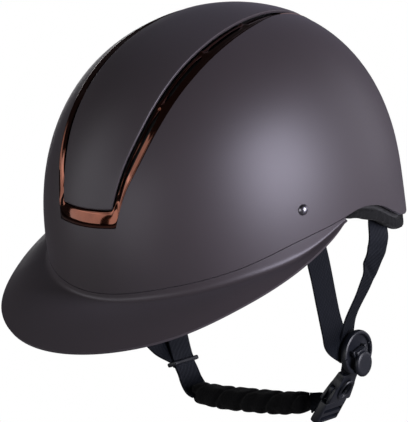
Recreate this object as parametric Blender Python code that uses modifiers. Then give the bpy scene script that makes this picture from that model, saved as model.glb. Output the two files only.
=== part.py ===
"""Riding helmet with a fixed peak, a chrome trim frame, a dial fit system and a buckled harness.

Lengths are millimetres until a mesh is finished, then metres. +Z is up, the front faces -Y, the
wearer's left is +X, and the origin is the middle of the head opening at brow level.
"""

import math

import bmesh
import bpy
from mathutils import Matrix, Vector

MM = 0.001

# Outer surface of the shell: a superellipsoid whose plan widens a little towards the back
HALF_WIDTH = 108.0
FRONT_REACH = 137.0
REAR_REACH = 141.0
CROWN_HEIGHT = 139.0
SKIRT_HEIGHT = 400.0
PLAN_POWER = 2.05
SIDE_POWER = 2.27
REAR_WIDENING = 0.07

# Layers, each an inset from the outer surface
SHELL_WALL = 2.6
TRIM_INSET, TRIM_WALL = 0.7, 2.4
MESH_INSET, MESH_WALL = 3.7, 0.7
LINER_INSET, LINER_WALL = 5.3, 16.5
PAD_INSET, PAD_WALL = 24.0, 5.0
FIT_GAP = 0.5

# Harness
WEBBING_WIDTH = 21.0
WEBBING_WALL = 1.4
SWING_PIVOT = Vector((-93.5, 10.0, -28.0))
SWING_AXIS = Vector((0.0, 0.97, -0.24)).normalized()
BUCKLE_CENTRE = Vector((75.5, 6.0, -127.5))
DIVIDER_CENTRE = Vector((88.0, 13.0, -98.5))

# Dial gear
MODULE = 1.0
PINION_TEETH = 10
PITCH_RADIUS = MODULE * PINION_TEETH / 2
BACKLASH = 0.35
HALF_TOOTH = (math.pi * MODULE / 2 - BACKLASH) / 2
TOOTH_ROOT, TOOTH_TIP = 1.25, 0.9
PRESSURE_ANGLE = 20.0
DIAL_CENTRE = Vector((0.0, 98.5, -28.0))


def clear_scene():
    for old in list(bpy.data.objects):
        bpy.data.objects.remove(old, do_unlink=True)


clear_scene()
PARTS = bpy.data.collections.new("riding_helmet")
CUTTERS = bpy.data.collections.new("cutters")
bpy.context.scene.collection.children.link(PARTS)
bpy.context.scene.collection.children.link(CUTTERS)


# ---------------------------------------------------------------- materials


def material(name, colour, roughness, metallic=0.0):
    made = bpy.data.materials.new(name)
    made.use_nodes = True
    shader = made.node_tree.nodes["Principled BSDF"]
    shader.inputs["Base Color"].default_value = (*colour, 1.0)
    shader.inputs["Roughness"].default_value = roughness
    shader.inputs["Metallic"].default_value = metallic
    return made


MATT_BROWN = material("matt_brown", (0.055, 0.042, 0.044), 0.45)
ROSE_CHROME = material("rose_chrome", (0.62, 0.30, 0.20), 0.08, 1.0)
STEEL = material("steel", (0.42, 0.40, 0.42), 0.3, 1.0)
BLACK_FOAM = material("black_foam", (0.02, 0.02, 0.022), 0.8)
BLACK_PLUSH = material("black_plush", (0.012, 0.012, 0.014), 0.95)
BLACK_WEBBING = material("black_webbing", (0.016, 0.017, 0.021), 0.6)
BLACK_PLASTIC = material("black_plastic", (0.022, 0.023, 0.028), 0.4)


# ---------------------------------------------------------------- small helpers


def curve_through(points, level_start=False):
    """A smooth function of one value through (value, result) pairs, held at its ends past them."""
    spans = list(zip(points, points[1:]))
    rises = [(b[1] - a[1]) / (b[0] - a[0]) for a, b in spans]
    inner = [(a + b) / 2 if a * b > 0 else 0 for a, b in zip(rises, rises[1:])]
    slopes = [0 if level_start else rises[0], *inner, rises[-1]]

    def value(at):
        at = min(max(at, points[0][0]), points[-1][0])
        for i, (low, high) in enumerate(spans):
            if at <= high[0]:
                break
        width = high[0] - low[0]
        t = (at - low[0]) / width
        start = (1 + 2 * t) * (1 - t) ** 2 * low[1] + t * (1 - t) ** 2 * width * slopes[i]
        return start + t * t * (3 - 2 * t) * high[1] - t * t * (1 - t) * width * slopes[i + 1]

    return value


def path_through(points):
    """A smooth path through points in space: a function from 0..1 to a place on it."""
    steps = [0.0]
    for a, b in zip(points, points[1:]):
        steps.append(steps[-1] + (Vector(b) - Vector(a)).length)
    axes = [curve_through([(s / steps[-1], p[k]) for s, p in zip(steps, points)]) for k in range(3)]
    return lambda t: Vector(axis(t) for axis in axes)


def shell_measure(point, inset):
    """Under 1 inside the surface that lies this far inside the shell's outer one, and over 1 outside."""
    x, y, z = point
    length = (FRONT_REACH if y < 0 else REAR_REACH) - inset
    width = (HALF_WIDTH - inset) * (1 + REAR_WIDENING * y / length)
    plan = abs(x / width) ** PLAN_POWER + abs(y / length) ** PLAN_POWER
    rise = abs(z / (CROWN_HEIGHT - inset)) ** SIDE_POWER if z > 0 else (z / SKIRT_HEIGHT) ** 2
    return plan ** (SIDE_POWER / PLAN_POWER) + rise


def meet_shell(start, direction, inset):
    """Where a line leaves the shell's surface."""
    near, far = 0.0, 200.0
    for _ in range(40):
        middle = (near + far) / 2
        if shell_measure(start + direction * middle, inset) < 1:
            near = middle
        else:
            far = middle
    return start + direction * near


def at_height(angle, z, inset=0.0):
    """On the surface at an angle in plan, in degrees from the front towards the wearer's left, and a height."""
    turn = math.radians(angle)
    return meet_shell(Vector((0, 0, z)), Vector((math.sin(turn), -math.cos(turn), 0)), inset)


def at_station(x, station, inset=0.0):
    """On the surface at a distance from the centre line and an angle over the crown, 0 front to 180 rear."""
    turn = math.radians(station)
    return meet_shell(Vector((x, 0, 0)), Vector((0, -math.cos(turn), math.sin(turn))), inset)


def outward_at(point):
    """The outward direction of the shell's surface at a point."""
    step = 0.01
    slope = [
        shell_measure(point + Vector(axis) * step, 0) - shell_measure(point - Vector(axis) * step, 0)
        for axis in ((1, 0, 0), (0, 1, 0), (0, 0, 1))
    ]
    return Vector(slope).normalized()


def finish(bm, name, look, collection=None):
    """Makes an object in metres from a bmesh in millimetres."""
    bmesh.ops.scale(bm, vec=(MM, MM, MM), verts=bm.verts)
    mesh = bpy.data.meshes.new(name)
    bm.to_mesh(mesh)
    bm.free()
    mesh.materials.append(look)
    mesh.shade_smooth()
    mesh.set_sharp_from_angle(angle=math.radians(35))
    made = bpy.data.objects.new(name, mesh)
    (collection or PARTS).objects.link(made)
    return made


def thicken(made, wall, offset=-1.0):
    solid = made.modifiers.new("wall", "SOLIDIFY")
    solid.thickness = wall * MM
    solid.offset = offset
    solid.use_even_offset = True
    return made


def hide_cutter(made):
    made.hide_render = True
    made.display_type = "WIRE"
    return made


def cut(target, cutter, operation="DIFFERENCE"):
    boolean = target.modifiers.new(operation.lower(), "BOOLEAN")
    boolean.object = cutter
    boolean.operation = operation
    boolean.solver = "EXACT"


def face_outward(bm, inside=Vector((0, 0, 0))):
    """Turns an open sheet round if its faces look at the inside point."""
    bm.normal_update()
    if sum((face.calc_center_median() - inside).dot(face.normal) * face.calc_area() for face in bm.faces) < 0:
        bmesh.ops.reverse_faces(bm, faces=bm.faces)


def sheet(name, columns, rows, place, look, wall, offset=-1.0, collection=None):
    """A grid laid on a surface: place takes two values in 0..1 and gives a point."""
    bm = bmesh.new()
    bmesh.ops.create_grid(bm, x_segments=columns, y_segments=rows, size=0.5)
    for vert in bm.verts:
        vert.co = place(vert.co.x + 0.5, vert.co.y + 0.5)
    face_outward(bm)
    return thicken(finish(bm, name, look, collection), wall, offset)


def dome(name, inset, rim, look, wall, segments=48, rings=12):
    """The shell's surface at an inset, from the rim's height at each angle up to the crown."""
    bm = bmesh.new()
    bmesh.ops.create_uvsphere(bm, u_segments=segments, v_segments=2 * rings, radius=1)
    low = [vert for vert in bm.verts if vert.co.z < -0.01]
    bmesh.ops.delete(bm, geom=low, context="VERTS")
    for vert in bm.verts:
        angle = math.degrees(math.atan2(vert.co.x, -vert.co.y))
        share = math.asin(min(1.0, vert.co.z)) / (math.pi / 2)
        edge = at_height(angle, rim(abs(angle)), inset)
        lowest = math.atan2(edge.z, math.hypot(edge.x, edge.y))
        rise = lowest + (math.pi / 2 - lowest) * share
        flat = Vector((math.sin(math.radians(angle)), -math.cos(math.radians(angle)), 0))
        vert.co = meet_shell(Vector((0, 0, 0)), flat * math.cos(rise) + Vector((0, 0, math.sin(rise))), inset)
    face_outward(bm)
    return thicken(finish(bm, name, look), wall)


def ribbon(name, middle, across, look, wall=WEBBING_WALL, steps=14, width=WEBBING_WIDTH):
    """Flat webbing along a path; across gives the direction of its width at 0..1, longer where it is cut askew."""

    def place(along, side):
        return middle(along) + across(along) * (side - 0.5) * width

    return sheet(name, steps, 1, place, look, wall, offset=0.0)


def block(bm, size, centre=(0, 0, 0)):
    matrix = Matrix.Translation(centre) @ Matrix.Diagonal((*size, 1))
    bmesh.ops.create_cube(bm, size=1, matrix=matrix)


def cylinder(bm, radius, length, matrix, segments=32, top=None):
    bmesh.ops.create_cone(
        bm, cap_ends=True, segments=segments, radius1=radius, radius2=radius if top is None else top,
        depth=length, matrix=matrix,
    )


def shape(name, build, look=None, matrix=None, cutter=False):
    """One object from a function that adds primitives to a bmesh, placed by a matrix."""
    bm = bmesh.new()
    build(bm)
    if matrix is not None:
        bmesh.ops.transform(bm, matrix=matrix, verts=bm.verts)
    made = finish(bm, name, look or BLACK_PLASTIC, CUTTERS if cutter else PARTS)
    return hide_cutter(made) if cutter else made


def outline_solid(name, points, thickness, look, matrix, holes=()):
    """A flat outline, with holes, given a thickness: a filled 2D curve made a mesh."""
    curve = bpy.data.curves.new(name, "CURVE")
    curve.dimensions = "2D"
    curve.fill_mode = "BOTH"
    curve.extrude = thickness / 2
    for loop in (points, *holes):
        spline = curve.splines.new("POLY")
        spline.points.add(len(loop) - 1)
        for point, (x, y) in zip(spline.points, loop):
            point.co = (x, y, 0, 1)
        spline.use_cyclic_u = True
    temporary = bpy.data.objects.new(name + "_outline", curve)
    PARTS.objects.link(temporary)
    bpy.context.view_layer.update()
    mesh = bpy.data.meshes.new_from_object(temporary.evaluated_get(bpy.context.evaluated_depsgraph_get()))
    bm = bmesh.new()
    bm.from_mesh(mesh)
    bmesh.ops.remove_doubles(bm, verts=bm.verts, dist=0.0005)
    bmesh.ops.recalc_face_normals(bm, faces=bm.faces)
    bmesh.ops.transform(bm, matrix=matrix, verts=bm.verts)
    bpy.data.objects.remove(temporary, do_unlink=True)
    return finish(bm, name, look)


def basis(origin, x_axis, y_axis, z_axis):
    """The matrix that puts local axes along three directions at an origin."""
    turned = Matrix((x_axis, y_axis, z_axis)).transposed().to_4x4()
    return Matrix.Translation(origin) @ turned


# ---------------------------------------------------------------- shell, trim and peak

# Heights of the shell's lower edge by plan angle: the seam over the peak, the ear arch, the rear rim
rim_height = curve_through([
    (0, -0.7), (23, 2.8), (44, 5.4), (67, 10.2), (91, 10.4), (102, 9.0),
    (113, 0.0), (124, -15.2), (132, -24.6), (147, -32.0), (180, -35.0),
], level_start=True)
# Half-widths of the trim frame by station over the crown
trim_outer = curve_through([
    (18.0, 24.0), (28.4, 28.9), (37, 34.8), (47, 39.0), (60, 41.7), (72, 42.6), (86, 41.5),
    (99, 38.4), (110, 33.6), (130, 25.0), (144, 20.0),
])
trim_inner = curve_through([
    (23.1, 20.9), (34, 24.8), (45.6, 29.4), (57, 31.3), (72, 31.7), (90, 30.1), (110, 26.5),
    (120, 23.0), (139, 13.5),
])
TRIM_FRONT, TRIM_REAR = 19.0, 144.0
PANEL_FRONT, PANEL_REAR = 24.1, 139.0
# The front bar sags by this many degrees in the middle, and the sag fades out over the crown
BAR_BOW, BOW_FADE = 0.8, 14.0
VENT_STATIONS = ((30.0, 51.5), (55.0, 75.5), (79.0, 95.5), (99.0, 124.0))
VENT_BORDER = 2.4
STATION_GAP = 0.25


def between(low, high, share):
    return low + (high - low) * share


def panel_place(half_width, front, rear, inset, bow=0.0):
    """A patch over the crown, symmetric about the centre line, whose front edge sags by the bow."""

    def place(along, side):
        station, share = between(front, rear, along), 2 * side - 1
        sag = bow * (1 - share * share) * max(0.0, 1 - (station - front) / BOW_FADE)
        return at_station(share * half_width(station), station - sag, inset)

    return place


def arm_place(front, rear, hand, inset):
    """A patch inside one arm of the trim frame, clear of its borders."""

    def place(along, side):
        station = between(front, rear, along)
        low, high = trim_inner(station) + VENT_BORDER, trim_outer(station) - VENT_BORDER
        return at_station(hand * between(low, high, side), station, inset)

    return place


def build_shell():
    shell = dome("outer_shell", 0.0, rim_height, MATT_BROWN, SHELL_WALL)
    opening = sheet(
        "trim_opening", 28, 8,
        panel_place(
            lambda s: trim_outer(s) + FIT_GAP, TRIM_FRONT - STATION_GAP, TRIM_REAR + STATION_GAP, 0, BAR_BOW
        ),
        MATT_BROWN, 14.0, 0.0, CUTTERS,
    )
    cut(shell, hide_cutter(opening))

    frame = sheet(
        "trim_frame", 28, 8, panel_place(trim_outer, TRIM_FRONT, TRIM_REAR, TRIM_INSET, BAR_BOW), ROSE_CHROME,
        TRIM_WALL,
    )
    hollow = sheet(
        "panel_opening", 28, 6, panel_place(trim_inner, PANEL_FRONT, PANEL_REAR, 0, BAR_BOW), ROSE_CHROME, 14.0, 0.0,
        CUTTERS,
    )
    cut(frame, hide_cutter(hollow))
    for hand, side in ((1, "left"), (-1, "right")):
        for number, (front, rear) in enumerate(VENT_STATIONS):
            slot = sheet(
                f"vent_slot_{side}_{number}", 6, 2, arm_place(front, rear, hand, 0), ROSE_CHROME, 11.0, 0.0,
                CUTTERS,
            )
            cut(frame, hide_cutter(slot))
        sheet(
            f"vent_mesh_{side}", 18, 1, arm_place(28.0, 126.0, hand, MESH_INSET), BLACK_PLASTIC, MESH_WALL
        )
    sheet(
        "crown_panel", 26, 6,
        panel_place(
            lambda s: trim_inner(s) - FIT_GAP, PANEL_FRONT + STATION_GAP, PANEL_REAR - STATION_GAP, 0, BAR_BOW
        ),
        MATT_BROWN, SHELL_WALL,
    )
    return shell


# The peak's outline by plan angle: how far it stands out, its edge's height, and the foot of its upright lip
brim_reach = curve_through([(0, 50.1), (22, 41.6), (45, 22.8), (68, 8.4), (90, 1.2)], level_start=True)
brim_edge = curve_through([(0, -19.2), (22, -17.0), (45, -9.5), (68, -2.3), (90, 7.5)], level_start=True)
lip_foot = curve_through([(0, -5.5), (22, -4.0), (45, -2.5), (68, -1.0), (90, 8.6)], level_start=True)
PEAK_HALF_ANGLE = 91.0
SEAM_GAP = 0.5
PEAK_WALL = 2.3
BRIM_CROWN = 2.2


def peak_place(along, out):
    """Down the lip for the first part of the way out, then over the brim to its edge."""
    angle = (2 * along - 1) * PEAK_HALF_ANGLE
    turn = abs(angle)
    lip_share = 0.25
    top, foot = rim_height(turn) - SEAM_GAP, lip_foot(turn)
    if out <= lip_share:
        return at_height(angle, between(top, foot, out / lip_share))
    share = (out - lip_share) / (1 - lip_share)
    root = at_height(angle, foot)
    flat = Vector((root.x, root.y, 0)).normalized()
    reach = brim_reach(turn)
    fall = between(foot, brim_edge(turn), share)
    bulge = BRIM_CROWN * math.sin(math.pi * share) * min(1.0, reach / 30)
    return Vector((root.x, root.y, 0)) + flat * reach * share + Vector((0, 0, fall + bulge))


def build_peak():
    sheet("peak", 40, 12, peak_place, MATT_BROWN, PEAK_WALL)


RIVET_ANGLE, RIVET_HEIGHT = 72.2, 29.3
RIVET_HEAD, RIVET_SHANK, RIVET_HOLE = 3.8, 1.8, 2.1


def build_rivets(shell):
    """A domed rivet each side, through a hole in the shell."""
    for hand, side in ((1, "left"), (-1, "right")):
        centre = at_height(hand * RIVET_ANGLE, RIVET_HEIGHT)
        out = outward_at(centre)
        turned = Matrix.Translation(centre) @ out.to_track_quat("Z", "Y").to_matrix().to_4x4()

        def rivet(bm):
            cylinder(bm, RIVET_SHANK, 4.0, Matrix.Translation((0, 0, -1.4)), 16)

        def head(bm):
            bmesh.ops.create_uvsphere(bm, u_segments=16, v_segments=8, radius=RIVET_HEAD)
            bmesh.ops.scale(bm, vec=(1, 1, 0.62), verts=bm.verts)
            flat = bmesh.ops.bisect_plane(
                bm, geom=list(bm.verts) + list(bm.edges) + list(bm.faces), plane_co=(0, 0, 0),
                plane_no=(0, 0, -1), clear_outer=True,
            )
            bmesh.ops.holes_fill(bm, edges=[e for e in flat["geom_cut"] if isinstance(e, bmesh.types.BMEdge)])
            bmesh.ops.translate(bm, vec=(0, 0, 0.35), verts=bm.verts)

        made = shape(f"side_rivet_{side}", rivet, STEEL, turned)
        cut(made, shape(f"rivet_head_{side}", head, STEEL, turned, True), "UNION")
        hole = shape(
            f"rivet_hole_{side}", lambda bm: cylinder(bm, RIVET_HOLE, 20, Matrix(), 16), None, turned, True
        )
        cut(shell, hole)


# ---------------------------------------------------------------- liner and pads

LINER_DROP = 3.0
NAPE_START, NAPE_TOP_DROP, NAPE_DROP = 92.5, 5.0, 11.0
NAPE_INSET, NAPE_WALL = 1.6, 11.0


def band_place(first, last, low, high, inset):
    """A patch of the side wall between two plan angles and two heights."""

    def place(along, side):
        return at_height(between(first, last, along), between(low, high, side), inset)

    return place


def nape_place(along, side):
    """The strip under the shell's rim from ear to ear round the back, fading out at the ears."""
    angle = between(NAPE_START, 360 - NAPE_START, along)
    turn = angle if angle <= 180 else 360 - angle
    grown = min(1.0, 0.15 + (turn - NAPE_START) / 16)
    top = rim_height(turn) - NAPE_TOP_DROP
    return at_height(angle, top - side * (NAPE_DROP - NAPE_TOP_DROP) * grown, NAPE_INSET)


def build_liner():
    dome("foam_liner", LINER_INSET, lambda turn: rim_height(turn) - LINER_DROP, BLACK_FOAM, LINER_WALL, 40, 10)
    sheet("nape_pad", 36, 1, nape_place, BLACK_FOAM, NAPE_WALL)
    sheet("brow_pad", 20, 2, band_place(-72, 72, 2, 30, PAD_INSET), BLACK_PLUSH, PAD_WALL)
    sheet(
        "crown_pad", 10, 6, panel_place(lambda s: 30.0, 62, 122, PAD_INSET), BLACK_PLUSH, PAD_WALL
    )
    sheet("temple_pad_left", 6, 3, band_place(98, 140, 17, 48, PAD_INSET), BLACK_PLUSH, PAD_WALL)
    sheet("temple_pad_right", 6, 3, band_place(-98, -140, 17, 48, PAD_INSET), BLACK_PLUSH, PAD_WALL)


# ---------------------------------------------------------------- dial fit system

RACK_BODY = 3.4
RACK_LENGTH = 56.0
RACK_OVERRUN = 15.0
RACK_TEETH = 9
RACK_THICKNESS = 2.4
PINION_THICKNESS = 3.2
KNOB_RADIUS, KNOB_LENGTH, KNOB_LOBES = 13.0, 8.0, 22
HOUSING_SIZE = (48.0, 8.0, 27.0)
CHANNEL_SIZE = (60.0, 6.3, 22.0)
COVER_WALL = 1.5
SHAFT_RADIUS, SHAFT_HOLE = 3.0, 3.2
FACING_REAR = basis(DIAL_CENTRE, Vector((-1, 0, 0)), Vector((0, 0, 1)), Vector((0, 1, 0)))


def pinion_outline():
    points = []
    for tooth in range(PINION_TEETH):
        middle = 2 * math.pi * (tooth + 0.5) / PINION_TEETH
        flank = (
            (PITCH_RADIUS - TOOTH_ROOT, HALF_TOOTH + 0.32), (PITCH_RADIUS, HALF_TOOTH),
            (PITCH_RADIUS + TOOTH_TIP, HALF_TOOTH - 0.42),
        )
        for sign, side in ((-1, flank), (1, flank[::-1])):
            for radius, wide in side:
                angle = middle + sign * wide / radius
                points.append((radius * math.cos(angle), radius * math.sin(angle)))
    return points


def rack_outline():
    """Teeth up from a straight back, with a tooth space over the pinion's tooth at x = 0."""
    pitch = math.pi * MODULE
    slope = math.tan(math.radians(PRESSURE_ANGLE))
    root, tip = HALF_TOOTH + slope * 1.1, HALF_TOOTH - slope * 0.95
    back, end = -TOOTH_ROOT - RACK_BODY, RACK_LENGTH - RACK_OVERRUN
    first = math.ceil(-RACK_OVERRUN / pitch)
    points = [(-RACK_OVERRUN, back), (-RACK_OVERRUN, -TOOTH_ROOT)]
    for tooth in range(first, first + RACK_TEETH):
        centre = (tooth + 0.5) * pitch
        points += [
            (centre - root, -TOOTH_ROOT), (centre - tip, TOOTH_TIP), (centre + tip, TOOTH_TIP),
            (centre + root, -TOOTH_ROOT),
        ]
    return [*points, (end, -TOOTH_ROOT), (end, back)]


def build_dial():
    teeth_level = Vector((0, -1.0, 0))
    pinion = outline_solid(
        "dial_pinion", pinion_outline(), PINION_THICKNESS, BLACK_PLASTIC,
        Matrix.Translation(teeth_level) @ FACING_REAR,
    )
    shaft = shape(
        "dial_shaft", lambda bm: cylinder(bm, SHAFT_RADIUS, 5.0, Matrix.Translation((0, 0, 2.2)), 24), None,
        FACING_REAR, True,
    )
    cut(pinion, shaft, "UNION")
    lobes = [
        ((KNOB_RADIUS + 0.6 * math.cos(KNOB_LOBES * a)) * math.cos(a),
         (KNOB_RADIUS + 0.6 * math.cos(KNOB_LOBES * a)) * math.sin(a))
        for a in (2 * math.pi * i / (4 * KNOB_LOBES) for i in range(4 * KNOB_LOBES))
    ]
    knob_centre = Vector((0, 5.2 + KNOB_LENGTH / 2, 0))
    outline_solid("dial_knob", lobes, KNOB_LENGTH, BLACK_PLASTIC, Matrix.Translation(knob_centre) @ FACING_REAR)

    rack_level = Matrix.Translation(teeth_level)
    lower = basis(DIAL_CENTRE + Vector((0, 0, -PITCH_RADIUS)), Vector((1, 0, 0)), Vector((0, 0, 1)),
                  Vector((0, -1, 0)))
    upper = basis(DIAL_CENTRE + Vector((0, 0, PITCH_RADIUS)), Vector((-1, 0, 0)), Vector((0, 0, -1)),
                  Vector((0, -1, 0)))
    outline_solid("rack_left", rack_outline(), RACK_THICKNESS, BLACK_PLASTIC, rack_level @ lower)
    outline_solid("rack_right", rack_outline(), RACK_THICKNESS, BLACK_PLASTIC, rack_level @ upper)

    housing = shape(
        "cradle_housing", lambda bm: block(bm, HOUSING_SIZE, DIAL_CENTRE + Vector((0, -0.9, 0))), BLACK_PLASTIC
    )
    channel = shape(
        "rack_channel", lambda bm: block(bm, CHANNEL_SIZE, DIAL_CENTRE + Vector((0, 0.2, 0))), None, None, True
    )
    cut(housing, channel)
    cover = shape(
        "cradle_cover",
        lambda bm: block(bm, (HOUSING_SIZE[0], COVER_WALL, HOUSING_SIZE[2]), DIAL_CENTRE + Vector((0, 4.15, 0))),
        BLACK_PLASTIC,
    )
    cut(cover, shape("shaft_hole", lambda bm: cylinder(bm, SHAFT_HOLE, 30, Matrix(), 32), None, FACING_REAR, True))
    for hand, side in ((1, "left"), (-1, "right")):
        middle = path_through([
            (82.0 * hand, -18, 9), (82.6 * hand, 15, 7), (79.4 * hand, 36, 1), (73 * hand, 56, -8),
            (59.5 * hand, 81.5, -19), (44.5 * hand, 100, -25.5), (35 * hand, 102, -27.5), (26.5 * hand, 102.2, -28),
        ])
        ribbon(f"fit_band_{side}", middle, lambda t: Vector((0, 0, 1)), BLACK_PLASTIC, 1.5, 16, 11.0)


# ---------------------------------------------------------------- harness



def strap_basis(centre, outward, hand):
    """Local x across the webbing, along the swing axis, y down the webbing and z outwards."""
    out = (outward - SWING_AXIS * outward.dot(SWING_AXIS)).normalized()
    across = SWING_AXIS * -hand
    return basis(centre, across, out.cross(across), out)


# The tongue leaves the socket along the arc that it swings on
BUCKLE = strap_basis(BUCKLE_CENTRE, BUCKLE_CENTRE - SWING_PIVOT, 1)
KEEPER = strap_basis(Vector((-65.0, 4.2, -131.0)), Vector((-0.9, 0, -0.42)), -1)
DIVIDER = basis(DIVIDER_CENTRE, Vector((0, 1, 0)), Vector((0, 0, 1)), Vector((1, 0, 0)))
ALONG_Y = Vector((0, 1, 0))


def in_buckle(x, y, z):
    return BUCKLE @ Vector((x, y, z))


def mirrored(points):
    return [(-x, y, z) for x, y, z in points]


FRONT_HANG = [(96.5, -20.5, 3.5), (96.0, -19.2, -10.0), (94.5, -16.2, -24.0)]
REAR_HANG = [(94.0, 55.5, -21.0), (93.5, 52.0, -28.0), (92.5, 47.5, -36.0)]
FRONT_LOWER = [(92.5, -12.6, -47.0), (90.4, -8.5, -70.0), (86.3, -1.5, -84.5), (86.0, 8.0, -95.0)]
REAR_LOWER = [(91.2, 40.0, -46.0), (90.0, 27.0, -59.0), (86.2, 14.0, -76.0), (83.4, 10.5, -92.0)]
HINGE_GAP = 1.4
REAR_SLANT = -0.69


def from_rim(slant, end, reach):
    """A width that starts along the slanting rim and turns to its own direction over the first reach."""
    return lambda t: Vector((0, 1, slant)).lerp(end, min(1.0, t / reach))


def build_left_harness():
    middle = path_through(FRONT_HANG + FRONT_LOWER)
    ribbon("front_strap_left", middle, lambda t: ALONG_Y, BLACK_WEBBING)
    middle = path_through(REAR_HANG + REAR_LOWER)
    ribbon("rear_strap_left", middle, from_rim(REAR_SLANT, ALONG_Y, 0.3), BLACK_WEBBING)

    base = shape(
        "divider_base", lambda bm: cylinder(bm, 15.5, 5.0, Matrix.Translation((0, 0, 2.5)), 40), BLACK_PLASTIC,
        DIVIDER,
    )
    dish = shape(
        "divider_dish", lambda bm: cylinder(bm, 12.6, 6.0, Matrix.Translation((0, 0, 5.4)), 40), None, DIVIDER,
        True,
    )
    cut(base, dish)

    def lugs(bm):
        block(bm, (2.0, 4.4, 4.2), (-6.2, 1.6, 4.2))
        block(bm, (2.0, 4.4, 4.2), (6.2, 1.6, 4.2))

    cut(base, shape("divider_lugs", lugs, None, DIVIDER, True), "UNION")
    pin_place = Matrix.Translation((0, 1.6, 4.6)) @ Matrix.Rotation(math.pi / 2, 4, "Y")
    cut(base, shape("pin_hole", lambda bm: cylinder(bm, 0.95, 30, pin_place, 24), None, DIVIDER, True))
    shape("divider_pin", lambda bm: cylinder(bm, 0.85, 14.0, pin_place, 24), STEEL, DIVIDER)

    def barrel(bm):
        cylinder(bm, 1.75, 9.6, pin_place, 24)

    lever = shape("divider_lever", barrel, BLACK_PLASTIC, DIVIDER)

    def lever_arm(bm):
        block(bm, (8.0, 9.0, 1.8), (0, -3.6, 5.3))

    def lever_pad(bm):
        cylinder(bm, 8.6, 3.2, Matrix.Translation((0, -9.5, 7.0)), 32, 8.0)

    cut(lever, shape("lever_arm", lever_arm, None, DIVIDER, True), "UNION")
    cut(lever, shape("lever_pad", lever_pad, None, DIVIDER, True), "UNION")
    cut(lever, shape("lever_bore", lambda bm: cylinder(bm, 0.95, 30, pin_place, 24), None, DIVIDER, True))

    top = in_buckle(0, -17.8, 0)
    middle = path_through([(84.6, 12.0, -99.0), (85.6, 11.5, -104.0), tuple(top)])
    ribbon("buckle_strap", middle, lambda t: SWING_AXIS, BLACK_WEBBING, WEBBING_WALL, 6, 18.0)

    socket = shape(
        "buckle_socket", lambda bm: block(bm, (25.0, 24.0, 9.0), (0, -5.0, 0)), BLACK_PLASTIC, BUCKLE
    )

    def hollow(bm):
        block(bm, (19.0, 30.0, 5.4), (0, 5.0, 0))

    def side_slots(bm):
        block(bm, (40.0, 30.0, 4.2), (0, 8.0, 0))

    cut(socket, shape("socket_hollow", hollow, None, BUCKLE, True))
    cut(socket, shape("socket_slots", side_slots, None, BUCKLE, True))
    window = Matrix.Translation((0, -4.0, 6.0)) @ Matrix.Diagonal((1.0, 1.3, 1.0, 1.0))
    cut(socket, shape("socket_window", lambda bm: cylinder(bm, 4.4, 9.0, window, 24), None, BUCKLE, True))


def build_right_harness():
    for part, hang, lower in (
        ("front", FRONT_HANG, [(92.5, -13.5, -47.0), (90.0, -12.0, -70.0), (84.0, -12.0, -93.0),
                               (75.0, -7.0, -113.0), (67.7, 3.6, -127.0), (66.0, 4.2, -131.0)]),
        ("rear", REAR_HANG, [(91.0, 41.0, -50.0), (89.0, 31.0, -70.0), (81.5, 20.0, -95.0),
                             (73.0, 11.0, -114.0), (65.6, 5.0, -127.0), (63.7, 4.4, -131.6)]),
    ):
        top, bend = Vector(hang[0]), Vector(hang[1])
        top.x, bend.x = -top.x, -bend.x
        crossing = Vector((-hang[2][0], hang[2][1], 0))
        crossing.z = SWING_PIVOT.z + (crossing.y - SWING_PIVOT.y) * SWING_AXIS.z / SWING_AXIS.y
        fall = (crossing - bend).normalized() * HINGE_GAP
        slant = REAR_SLANT if part == "rear" else 0.0
        ribbon(f"{part}_hanger_right", path_through([tuple(top), tuple(bend.lerp(crossing, 0.4)),
               tuple(crossing - fall)]), from_rim(slant, SWING_AXIS, 1.0), BLACK_WEBBING, WEBBING_WALL, 5)
        ribbon(f"{part}_strap_right", path_through([tuple(crossing + fall)] + mirrored(lower)),
               lambda t: SWING_AXIS, BLACK_WEBBING)


PAD_PATH = path_through([
    (-50.0, -2.0, -150.5), (-24.0, -3.0, -149.6), (4.0, -3.0, -146.6), (32.0, -3.0, -142.8), (52.0, -1.5, -138.6),
])
PAD_WIDTH, PAD_DEPTH = 17.0, 11.0


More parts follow.
